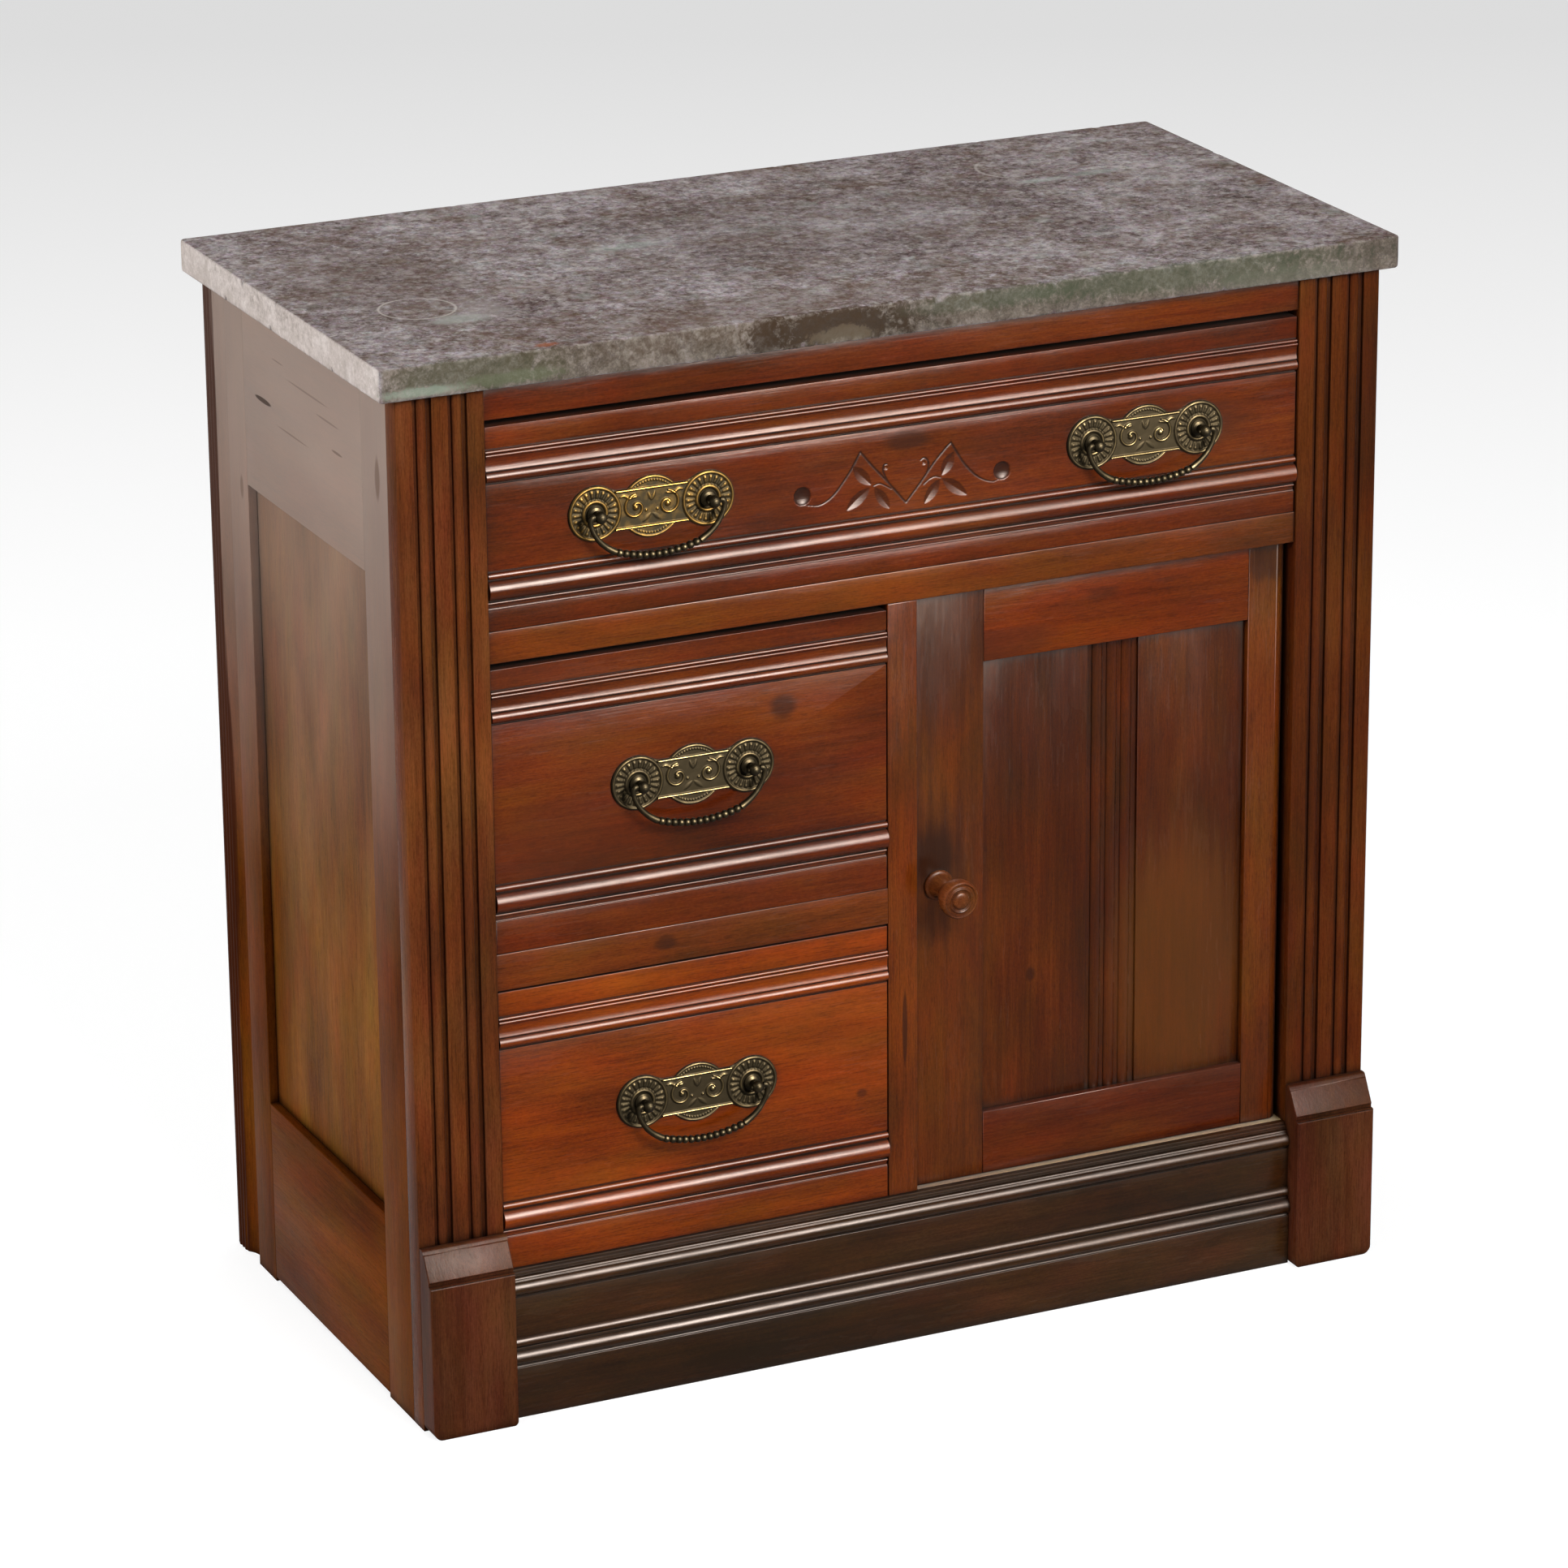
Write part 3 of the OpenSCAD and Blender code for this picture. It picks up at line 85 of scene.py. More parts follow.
def add(
    tree: Tree,
    kind: str,
    *inputs: Node | Socket | float | Sequence[float],
    links: dict | None = None,
    stops: Sequence[tuple[float, str]] = (),
    **settings: object,
) -> Node:
    """Adds one node with its inputs and settings.

    Args:
        tree: The node tree of a material or of the world.
        kind: The node's type name, without the word ShaderNode before it.
        inputs: What goes into its first inputs, in order: a value, a node's output, or
            a node, which stands for its first output in use.
        links: The same for inputs that are given by name or number.
        stops: Positions and hex colours, for a node that has a colour ramp.
        settings: Properties of the node, such as operation="MULTIPLY".

    Returns:
        The new node.
    """
    node = tree.nodes.new(f"ShaderNode{kind}")
    for name, value in settings.items():
        setattr(node, name, value)
    for key, value in {**dict(enumerate(inputs)), **(links or {})}.items():
        if isinstance(value, Node):
            value = next(out for out in value.outputs if out.enabled)
        if isinstance(value, Socket):
            tree.links.new(value, node.inputs[key])
        else:
            node.inputs[key].default_value = value
    if stops:
        ramp = node.color_ramp
        while len(ramp.elements) < len(stops):
            ramp.elements.new(0.5)
        for element, (place, colour) in zip(ramp.elements, stops):
            element.position = place
            element.color = linear(colour)
    return node


def over(tree: Tree, colour: Node | Socket, amount: Node | Socket, hue: str) -> Node:
    """Lays a hex colour over another colour by an amount."""
    return add(tree, "Mix", amount, links={6: colour, 7: linear(hue)}, data_type="RGBA")


def new_material(name: str) -> tuple[bpy.types.Material, Tree]:
    """Starts an empty node material and gives it with its node tree."""
    material = bpy.data.materials.new(name)
    material.use_nodes = True
    material.node_tree.nodes.clear()
    return material, material.node_tree


def new_piece(
    name: str,
    mesh: bpy.types.Mesh,
    body: str,
    slot: str,
    node: str,
    place: Sequence[float] = (0.0, 0.0, 0.0),
) -> bpy.types.Object:
    """Puts a mesh in the scene as a piece that rides on a CAD body.

    Args:
        name: The piece's name.
        mesh: Its mesh, about its place.
        body: The CAD body that it rides on.
        slot: The record's material slot of its finish; not used.
        node: The CAD node that it stands for.
        place: Where its origin lies in the row frame.

    Returns:
        The new object.
    """
    piece = bpy.data.objects.new(name, mesh)
    piece.location = place
    bpy.context.scene.collection.objects.link(piece)
    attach(piece, body)
    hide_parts(node)
    return piece


def mesh_from(
    name: str,
    points: Sequence[Sequence[float]],
    faces: Sequence[Sequence[int]],
    crease: float = 40.0,
) -> bpy.types.Mesh:
    """Makes a smooth-shaded mesh whose sharp edges stay sharp.

    Args:
        name: The mesh's name.
        points: Corners in metres.
        faces: Corner numbers of each face.
        crease: Angle in degrees from which an edge is sharp.

    Returns:
        The mesh.
    """
    mesh = bpy.data.meshes.new(name)
    mesh.from_pydata([tuple(p) for p in points], [], [tuple(f) for f in faces])
    mesh.update()
    shade(mesh, crease)
    return mesh


def shade(mesh: bpy.types.Mesh, crease: float) -> None:
    """Shades a mesh smooth, apart from edges sharper than crease degrees."""
    mesh.polygons.foreach_set("use_smooth", [True] * len(mesh.polygons))
    mesh.set_sharp_from_angle(angle=math.radians(crease))


def paint(mesh: bpy.types.Mesh, name: str, values: Sequence[float]) -> None:
    """Writes one value per point into a new attribute of a mesh."""
    mesh.attributes.new(name, "FLOAT", "POINT").data.foreach_set("value", values)


def smooth_path(points: Sequence[Sequence[float]], steps: int) -> np.ndarray:
    """Runs a smooth curve through points of any number of values each.

    Args:
        points: The points that the curve passes.
        steps: Pieces between two points.

    Returns:
        The points of the curve.
    """
    given = np.array(points, float)
    ends = np.vstack([2 * given[0] - given[1], given, 2 * given[-1] - given[-2]])
    out = []
    for a, b, c, d in zip(ends, ends[1:], ends[2:], ends[3:]):
        square, cube = 2 * a - 5 * b + 4 * c - d, 3 * b - a - 3 * c + d
        for t in np.arange(steps) / steps:
            out.append(0.5 * (2 * b + (c - a) * t + square * t**2 + cube * t**3))
    out.append(given[-1])
    return np.array(out)


def stroke(x: np.ndarray, z: np.ndarray, path: np.ndarray) -> np.ndarray:
    """Tells how deep inside a tapered line each point lies.

    Args:
        x: Places across.
        z: Places upward.
        path: Rows of across, upward and half width.

    Returns:
        1 on the line's middle, falling to 0 at its edge and beyond.
    """
    best = np.zeros_like(x)
    for (ax, az, aw), (bx, bz, bw) in zip(path, path[1:]):
        dx, dz = bx - ax, bz - az
        t = np.clip(((x - ax) * dx + (z - az) * dz) / (dx * dx + dz * dz + 1e-12), 0, 1)
        off = np.hypot(x - ax - t * dx, z - az - t * dz)
        best = np.maximum(best, 1 - off / (aw + t * (bw - aw)))
    return best


def leaf(
    x: np.ndarray, z: np.ndarray, root: tuple[float, float], tip: tuple[float, float], wide: float
) -> np.ndarray:
    """Tells how deep inside a pointed leaf each point lies.

    Args:
        x: Places across.
        z: Places upward.
        root: Where the leaf starts.
        tip: Where it ends.
        wide: Its greatest width.

    Returns:
        1 on the midrib at the widest place, falling to 0 at the edge and beyond.
    """
    dx, dz = tip[0] - root[0], tip[1] - root[1]
    length = math.hypot(dx, dz)
    along = ((x - root[0]) * dx + (z - root[1]) * dz) / length**2
    off = np.abs((x - root[0]) * dz - (z - root[1]) * dx) / length
    half = wide / 2 * np.sin(math.pi * np.clip(along, 0.001, 0.999)) ** 0.75
    return np.clip(1 - off / half, 0, 1) * np.clip(half / wide * 2, 0, 1)


# ------------------------------------------------------------------------- finishes


class Grain(Enum):
    """The axis that a board's grain runs along, as an axis number."""

    ACROSS = 0
    DEPTH = 1
    UPRIGHT = 2


@dataclass(frozen=True)
class Mark:
    """A knot, dent or stain: a soft-edged ellipsoid that tints what it covers."""

    centre: Place
    reach: Place
    colour: str
    strength: float = 0.6
    softness: float = 0.8


def tint_marks(
    tree: Tree, colour: Node, place: Socket, ragged: Node, marks: Iterable[Mark]
) -> Node:
    """Lays marks over a colour.

    Args:
        tree: The material's node tree.
        colour: The colour so far.
        place: The point in the row frame, in metres.
        ragged: A noise value that frays the edge of each mark.
        marks: The marks.

    Returns:
        The colour with all marks on it.
    """
    # How far out a mark's edge lies, as a share of its reach
    edge = 1.45
    for mark in marks:
        off = add(tree, "VectorMath", place, mark.centre, operation="SUBTRACT")
        scaled = add(tree, "VectorMath", off, mark.reach, operation="DIVIDE")
        far = add(tree, "VectorMath", scaled, operation="LENGTH")
        frayed = add(tree, "Math", ragged, 0.9, far, operation="MULTIPLY_ADD")
        amount = add(tree, "MapRange", frayed, edge - mark.softness, edge, mark.strength, 0.0,
                     interpolation_type="SMOOTHSTEP")
        colour = over(tree, colour, amount, mark.colour)
    return colour


@dataclass(frozen=True)
class VarnishedWood:
    """Stained close-grained hardwood, planed and shellac-varnished.

    Broad clouds of stain drift across it, faint streaks and short dark pores run along
    the grain, and painted shade, with dirt, darkens the quirks. The old thin varnish is
    glossy in narrow highlights and reflects little else.
    """

    name: str
    deep: str
    middle: str
    light: str
    roughness: float = 0.2
    gloss: float = 0.08
    sheen_tint: str = "#FFECDF"
    # How dark the painted shade and dirt in the corners are, and how far they reach
    shade_and_grime: float = 0.9
    shade_and_grime_reach: float = 8 * MM
    underside: float = 0.6
    streak: float = 6 * MM
    # Real pores are about 0.15 mm wide; drawn 0.6 mm wide so that they show
    pore: float = 0.6 * MM
    pore_depth: float = 0.3
    # How strong the painted reflection towards the top of the side is
    painted_top_sheen: float = 0.0

    def dress(
        self, board: str, grain: Grain, shift: float, marks: Sequence[Mark] = ()
    ) -> bpy.types.Material:
        """Makes the material of one board.

        Args:
            board: The board's name.
            grain: The axis along the grain.
            shift: Where in its tree the board was cut, in metres.
            marks: Knots, dents and stains.

        Returns:
            The material.
        """
        material, tree = new_material(f"{self.name}_{board}")
        place = add(tree, "TexCoord").outputs["Object"]
        axes = add(tree, "SeparateXYZ", place).outputs
        along, *across = [grain.value] + [i for i in range(3) if i != grain.value]
        turned = add(tree, "CombineXYZ", axes[along], axes[across[0]], axes[across[1]])
        tree_place = (shift * 1.7, shift, -shift * 0.6)
        cut = add(tree, "VectorMath", turned, tree_place, operation="ADD")
        cloud = self._figure(tree, cut, 190 * MM, 70 * MM, 2.0)
        streak = self._figure(tree, cut, 24 * self.streak, self.streak)
        fibre = self._figure(tree, cut, 45 * MM, 1.4 * MM, 2.0)
        colour = self._stained(tree, cut, cloud, streak, fibre)
        # Painted shade in the corners, from ambient occlusion, together with the dirt and old
        # polish there; none on open faces
        corner = add(tree, "AmbientOcclusion", links={"Distance": self.shade_and_grime_reach}, samples=4)
        dirt_and_shade = add(tree, "MapRange", corner.outputs["AO"], 0.3, 0.93, self.shade_and_grime, 0.0,
                   interpolation_type="SMOOTHSTEP")
        colour = over(tree, colour, dirt_and_shade, "#0E0704")
        # Painted shade: faces that look down are darkened
        tilt = add(tree, "SeparateXYZ", add(tree, "NewGeometry").outputs["Normal"]).outputs[2]
        down = add(tree, "MapRange", tilt, -0.1, -0.75, 0.0, self.underside)
        colour = over(tree, colour, down, "#170B05")
        # Painted shade darkens the carved lines, leaves and bosses
        carved = add(tree, "Attribute", attribute_name="carved").outputs["Fac"]
        colour = over(tree, colour, carved, "#1C120C")
        if self.painted_top_sheen:
            # Painted reflection: a pale grey sheen laid over the colour, growing towards the top
            height = add(tree, "Math", cloud, 0.16, axes[2], operation="MULTIPLY_ADD")
            sheen_amount = add(tree, "MapRange", height, 0.36, 0.84, 0.0, self.painted_top_sheen,
                         interpolation_type="SMOOTHSTEP")
            colour = over(tree, colour, sheen_amount, "#B3A49A")
        ragged = add(tree, "Math", streak, 0.5, operation="SUBTRACT")
        colour = tint_marks(tree, colour, place, ragged, marks)
        relief = self._figure(tree, cut, 16 * MM, 8 * MM, 2.0)
        relief = add(tree, "Math", relief, 2.2, fibre, operation="MULTIPLY_ADD")
        bump = {"Strength": 0.3, "Distance": 0.25 * MM, "Height": relief}
        shader = add(tree, "BsdfPrincipled", links={
            "Base Color": colour,
            "Roughness": self._film(tree, cut, tilt, dirt_and_shade),
            "Normal": add(tree, "Bump", links=bump),
            "IOR": 1.5,
            "Specular IOR Level": self.gloss,
            "Specular Tint": linear(self.sheen_tint),
        })
        add(tree, "OutputMaterial", shader)
        return material

    def _figure(
        self,
        tree: Tree,
        cut: Node,
        length: float,
        width: float,
        detail: float = 3.0,
        roughness: float = 0.55,
    ) -> Node:
        """Gives noise stretched along the grain, with that length and width in metres."""
        shrink = (1 / length, 1 / width, 1 / width)
        stretched = add(tree, "VectorMath", cut, shrink, operation="MULTIPLY")
        return add(tree, "TexNoise", links={
            "Vector": stretched, "Scale": 1.0, "Detail": detail, "Roughness": roughness
        })

    def _stained(self, tree: Tree, cut: Node, cloud: Node, streak: Node, fibre: Node) -> Node:
        """Gives the stained wood's colour, before age.

        Args:
            tree: The material's node tree.
            cut: The place in the tree, with its first axis along the grain.
            cloud: Noise of the broad clouds of stain.
            streak: Noise of the streaks.
            fibre: Noise of the fibres.

        Returns:
            The colour.
        """
        speckle = self._figure(tree, cut, 2.4 * MM, 1.0 * MM, 2.0)
        # Growth rings: faint lines about 11 mm apart, bent by a slow noise
        beside = add(tree, "SeparateXYZ", cut).outputs[1]
        bend = self._figure(tree, cut, 420 * MM, 80 * MM, 1.0)
        rings = add(tree, "Math", bend, 0.16, beside, operation="MULTIPLY_ADD")
        rings = add(tree, "Math", rings, math.tau / (11 * MM), operation="MULTIPLY")
        rings = add(tree, "Math", rings, operation="SINE")
        shares = ((cloud, 1.0), (streak, 0.34), (fibre, 0.3), (speckle, 0.3), (rings, 0.018))
        level: Node | float = 0.0
        for part, share in shares:
            level = add(tree, "Math", part, share, level, operation="MULTIPLY_ADD")
        level = add(tree, "MapRange", level, 0.61, 1.33)
        stops = ((0.12, self.deep), (0.5, self.middle), (0.88, self.light))
        colour = add(tree, "ValToRGB", level, stops=stops)
        # The stain took unevenly, so the hue drifts between orange, red and brown
        drift = self._figure(tree, cut, 70 * MM, 22 * MM, 3.0, 0.5).outputs["Color"]
        colour = add(tree, "Mix", 0.3, links={6: colour, 7: drift}, data_type="RGBA",
                     blend_type="OVERLAY")
        pores = self._figure(tree, cut, 17 * self.pore, self.pore, 1.0)
        pores = add(tree, "MapRange", pores, 0.36, 0.47, self.pore_depth, 0.0)
        return over(tree, colour, pores, "#1A0C06")

    def _film(self, tree: Tree, cut: Node, tilt: Socket, dirt_and_shade: Node) -> Node:
        """Gives the roughness of the varnish.

        Args:
            tree: The material's node tree.
            cut: The place in the tree, with its first axis along the grain.
            tilt: How far the face looks up, from -1 to 1.
            dirt_and_shade: How much dirt and painted shade lie here.

        Returns:
            The roughness.
        """
        # The film is worn thin in places, so its gloss drifts
        drift = self._figure(tree, cut, 120 * MM, 50 * MM)
        least, most = self.roughness - 0.04, self.roughness + 0.08
        rough = add(tree, "MapRange", drift, 0.3, 0.7, least, most)
        # Rubbing and wax have broken the film into glossy and dull patches
        patchy = self._figure(tree, cut, 26 * MM, 3 * MM)
        patchy = add(tree, "MapRange", patchy, 0.52, 0.68, 0.0, 0.05)
        rough = add(tree, "Math", patchy, rough, operation="ADD")
        # Hands and cloths have dulled the top of every moulding
        dulled = add(tree, "MapRange", tilt, 0.04, 0.22, 0.0, 0.15,
                     interpolation_type="SMOOTHSTEP")
        rough = add(tree, "Math", dulled, rough, operation="ADD")
        # Dirt in the corners is matt
        return add(tree, "Math", dirt_and_shade, 0.2, rough, operation="MULTIPLY_ADD")


FRONT_RED = VarnishedWood("front_red", "#3F1604", "#602405", "#783509")
FRONT_ORANGE = VarnishedWood("front_orange", "#5D2103", "#7F3406", "#97430C")
DOOR_TOP = VarnishedWood("door_top", "#4C1902", "#6A2803", "#7D3608")
DOOR_BOTTOM = VarnishedWood("door_bottom", "#351002", "#511C03", "#662A07")
CASE_BROWN = VarnishedWood("case_brown", "#461F06", "#662D08", "#7D3D0D")
STILE_BROWN = VarnishedWood("stile_brown", "#3F1C08", "#5C2908", "#72380D")
LEFT_PILASTER = VarnishedWood("left_pilaster", "#412212", "#5F3017", "#774421", gloss=0.012)
# The right pilaster's finish is a darker copy of the left one: painted shade, as the light falls
# off towards the right
RIGHT_PILASTER_SHADED = VarnishedWood("right_pilaster", "#391B0A", "#53250C", "#673413", gloss=0.03)
SIDE_BROWN = VarnishedWood(
    "side_brown", "#482107", "#64320A", "#774011", roughness=0.42, gloss=0.01, painted_top_sheen=0.7
)
SIDE_PANEL = VarnishedWood(
    "side_panel", "#562E0F", "#75461A", "#895723", roughness=0.42, gloss=0.01, painted_top_sheen=0.5
)
BASE_DARK = VarnishedWood("base_dark", "#221407", "#39200A", "#523017", gloss=0.09)
BLOCK_DARK = VarnishedWood("block_dark", "#351B0E", "#4F2917", "#633821", gloss=0.016)
PANEL_DARK = VarnishedWood("panel_dark", "#361403", "#4D1F04", "#662E08")
TURNED_WOOD = VarnishedWood(
    "turned_wood", "#52260F", "#743D1C", "#8C5028", streak=4 * MM, gloss=0.05
)


@dataclass(frozen=True)
class BareWood:
    """Unfinished softwood, sawn and planed by hand and browned by age.

    It is matt, with darker growth streaks, and painted shade, with dust, darkens its corners.
    """

    name: str
    deep: str = "#6F5436"
    middle: str = "#9C7B50"
    light: str = "#B8976A"

    def dress(
        self, board: str, grain: Grain, shift: float, marks: Sequence[Mark] = ()
    ) -> bpy.types.Material:
        """Makes the material of one board, with the arguments of VarnishedWood.dress."""
        plain = VarnishedWood(
            self.name, self.deep, self.middle, self.light,
            roughness=0.72, gloss=0.3, shade_and_grime=0.55, shade_and_grime_reach=18 * MM, streak=9 * MM,
        )
        return plain.dress(board, grain, shift, marks)


INNER_PINE = BareWood("inner_pine")
BACK_PINE = BareWood("back_pine", "#4A3422", "#6B4D31", "#876545")


@dataclass(frozen=True)
class Ring:
    """A thin pale ring, or an arc of one, etched into the polish of the top.

    The centre lies in the row frame. Only the part below "until" along X is drawn.
    """

    centre: Place
    radius: float
    width: float = 0.9 * MM
    strength: float = 0.6
    until: float = 1.0


@dataclass(frozen=True)
class MottledMarble:
    """Brown and purple-grey fossil marble, worn dull by use.

    It is crowded with pale and dark fragments 3 to 25 mm long. Its sawn edges are
    duller and greener and show fine dark veins, its arrises are rubbed pale and carry
    a painted highlight in that pale colour, and old stains and a glass ring mark the top.
    """

    dark: str = "#473C3B"
    dusk: str = "#6B5F5E"
    body: str = "#827879"
    pale: str = "#A8A1A2"
    brown: str = "#5A4636"
    fleck: str = "#B1AAA7"
    cool_fleck: str = "#96A39C"
    speck: str = "#3A302D"
    # Rubbed pale on the arrises, and also their painted highlight
    rubbed: str = "#A69E95"
    etched: str = "#B4ADA6"
    front_edge: tuple[str, str, str] = ("#514A42", "#70665B", "#8E837A")
    left_edge: tuple[str, str, str] = ("#C4B8AF", "#D4C8C2", "#E9DFD9")
    other_edge: tuple[str, str, str] = ("#5E5752", "#7B726E", "#958C87")
    # How far in from a side its own colour starts
    edge_inset: float = 1.2 * MM
    rings: tuple[Ring, ...] = (
        Ring((-0.3015, -0.0465, 0.760), 26 * MM),
        Ring((0.2330, 0.1150, 0.760), 32 * MM, 1.2 * MM, 0.45, until=0.219),
    )

    def dress(self, box: tuple[Vector, Vector], marks: Sequence[Mark]) -> bpy.types.Material:
        """Makes the slab's material.

        Args:
            box: Lowest and highest corner of the slab.
            marks: Stains and patches.

        Returns:
            The material.
        """
        material, tree = new_material("mottled_marble")
        place = add(tree, "TexCoord").outputs["Object"]
        axes = add(tree, "SeparateXYZ", place).outputs
        broad = self._mottle(tree, place, 75 * MM, 3.0, 3.1)
        medium = self._mottle(tree, place, 13 * MM, 5.0, 11.7)
        small = self._mottle(tree, place, 4.2 * MM, 4.0, 51.0)
        fine = self._mottle(tree, place, 1.6 * MM, 3.0, 23.0)
        level: Node | float = -0.98
        for part, share in ((broad, 1.0), (medium, 1.1), (small, 1.1), (fine, 0.65)):
            level = add(tree, "Math", part, share, level, operation="MULTIPLY_ADD")
        level = add(tree, "MapRange", level, 0.56, 1.33)
        colour = self._fossils(tree, place, level)
        ragged = add(tree, "Math", medium, small, operation="ADD")
        ragged = add(tree, "Math", ragged, 1.9, -1.9, operation="MULTIPLY_ADD")
        colour = self._edges(tree, colour, place, axes, level, box)
        colour = tint_marks(tree, colour, place, ragged, marks)
        for ring in self.rings:
            colour = self._etch(tree, colour, place, axes[0], ring)
        # The arrises are rubbed pale, and the same pale colour paints their highlight
        worn = add(tree, "Attribute", attribute_name="worn").outputs["Fac"]
        patchy = self._mottle(tree, place, 9 * MM, 3.0, 61.0)
        patchy = add(tree, "MapRange", patchy, 0.48, 0.7, 0.0, 0.6)
        worn = add(tree, "Math", worn, patchy, operation="MULTIPLY")
        relief = add(tree, "Math", fine, 0.4, medium, operation="MULTIPLY_ADD")
        bump = {"Strength": 0.2, "Distance": 0.4 * MM, "Height": relief}
        shader = add(tree, "BsdfPrincipled", links={
            "Base Color": over(tree, colour, worn, self.rubbed),
            "Roughness": add(tree, "MapRange", medium, 0.3, 0.7, 0.4, 0.6),
            "Normal": add(tree, "Bump", links=bump),
            "IOR": 1.5,
            "Specular IOR Level": 0.0,
        })
        add(tree, "OutputMaterial", shader)
        return material

    def _fossils(self, tree: Tree, place: Socket, level: Node) -> Node:
        """Gives the polished top's colour: clouds, rust and scattered fragments."""
        stops = ((0.06, self.dark), (0.32, self.dusk), (0.56, self.body), (0.95, self.pale))
        colour = add(tree, "ValToRGB", level, stops=stops)
        rusty = self._mottle(tree, place, 45 * MM, 4.0, 71.0)
        rusty = add(tree, "MapRange", rusty, 0.46, 0.68, 0.0, 0.62)
        colour = over(tree, colour, rusty, self.brown)
        # Each crystal drifts a little towards lilac, brown or green
        drift = add(tree, "TexNoise", links={
            "Vector": self._scaled(tree, place, 5 * MM, 97.0), "Scale": 1.0, "Detail": 3.0
        }).outputs["Color"]
        colour = add(tree, "Mix", 0.2, links={6: colour, 7: drift}, data_type="RGBA",
                     blend_type="OVERLAY")
        for size, shift, least, share, hue in (
            (5.5 * MM, 7.0, 0.72, 0.5, self.speck),
            (8 * MM, 19.0, 0.74, 0.5, self.fleck),
            (16 * MM, 31.0, 0.86, 0.4, self.cool_fleck),
            (3.6 * MM, 43.0, 0.7, 0.42, self.fleck),
        ):
            mask = self._fragments(tree, place, size, shift, least, share)
            colour = over(tree, colour, mask, hue)
        return colour

    def _edges(
        self,
        tree: Tree,
        colour: Node,
        place: Socket,
        axes: Sequence[Socket],
        level: Node,
        box: tuple[Vector, Vector],
    ) -> Node:
        """Gives the four sawn edges their own colours and fine dark veins.

        Args:
            tree: The material's node tree.
            colour: The colour so far.
            place: The point in the row frame, in metres.
            axes: Its three coordinates.
            level: How light the marble is here, from 0 to 1.
            box: Lowest and highest corner of the slab.

        Returns:
            The colour with the edges on it.
        """
        low, high = box
        # Veins about 30 mm apart
        bent = self._bent(tree, place, 30 * MM, 83.0)
        cells = add(tree, "TexVoronoi", links={"Vector": bent, "Scale": 1.0},
                    feature="DISTANCE_TO_EDGE")
        vein = add(tree, "MapRange", cells, 0.0, 0.05, 0.6, 0.0)
        for plane, axis, side, hues in (
            (low.y, 1, -1, self.front_edge),
            (low.x, 0, -1, self.left_edge),
            (high.x, 0, 1, self.other_edge),
            (high.y, 1, 1, self.other_edge),
        ):
            sawn = add(tree, "ValToRGB", level, stops=tuple(zip((0.05, 0.5, 1.0), hues)))
            sawn = over(tree, sawn, vein, hues[0])
            start = plane - side * self.edge_inset
            amount = add(tree, "MapRange", axes[axis], start, start + side * MM, 0.0, 0.92)
            colour = add(tree, "Mix", amount, links={6: colour, 7: sawn}, data_type="RGBA")
        return colour

    def _etch(self, tree: Tree, colour: Node, place: Socket, across: Socket, ring: Ring) -> Node:
        """Draws a pale ring or arc.

        Args:
            tree: The material's node tree.
            colour: The colour so far.
            place: The point in the row frame, in metres.
            across: Its coordinate along X.
            ring: The ring.

        Returns:
            The colour with the ring on it.
        """
        far = add(tree, "VectorMath", place, ring.centre, operation="DISTANCE")
        off = add(tree, "Math", far, ring.radius, operation="SUBTRACT")
        off = add(tree, "Math", off, operation="ABSOLUTE")
        line = add(tree, "MapRange", off, 0.4 * ring.width, 1.4 * ring.width, ring.strength, 0.0)
        part = add(tree, "MapRange", across, ring.until - 12 * MM, ring.until, 1.0, 0.0)
        amount = add(tree, "Math", line, part, operation="MULTIPLY")
        return over(tree, colour, amount, self.etched)

    def _scaled(self, tree: Tree, place: Socket, size: float, shift: float) -> Node:
        """Gives the place in units of that size in metres, shifted."""
        return add(tree, "VectorMath", place, (1 / size,) * 3, (shift,) * 3,
                   operation="MULTIPLY_ADD")

    def _mottle(self, tree: Tree, place: Socket, size: float, detail: float, shift: float) -> Node:
        """Gives noise with features of that size in metres."""
        return add(tree, "TexNoise", links={
            "Vector": self._scaled(tree, place, size, shift),
            "Scale": 1.0,
            "Detail": detail,
            "Roughness": 0.66,
            "Distortion": 0.6,
        })

    def _bent(self, tree: Tree, place: Socket, size: float, shift: float) -> Node:
        """Gives the scaled place, pushed about by noise so that shapes turn ragged."""
        push = add(tree, "TexNoise", links={
            "Vector": self._scaled(tree, place, size * 0.6, shift),
            "Scale": 1.0,
            "Detail": 4.0,
            "Roughness": 0.7,
        }).outputs["Color"]
        scaled = self._scaled(tree, place, size, shift)
        return add(tree, "VectorMath", push, (1.5, 1.5, 1.5), scaled, operation="MULTIPLY_ADD")

    def _fragments(
        self, tree: Tree, place: Socket, size: float, shift: float, least: float, share: float
    ) -> Node:
        """Gives a mask of scattered ragged fragments.

        Args:
            tree: The material's node tree.
            place: The point in the row frame, in metres.
            size: The fragments' size in metres.
            shift: Where the pattern was cut, as a number.
            least: The share of cells that stay empty, from 0 to 1.
            share: How strongly a fragment shows.

        Returns:
            The mask.
        """
        bent = self._bent(tree, place, size, shift)
        cells = add(tree, "TexVoronoi", links={"Vector": bent, "Scale": 1.0})
        lot = add(tree, "SeparateXYZ", cells.outputs["Color"])
        drawn = add(tree, "MapRange", lot, least, least + 0.2)
        inside = add(tree, "MapRange", cells.outputs["Distance"], 0.15, 0.75, share, 0.0)
        return add(tree, "Math", drawn, inside, operation="MULTIPLY")


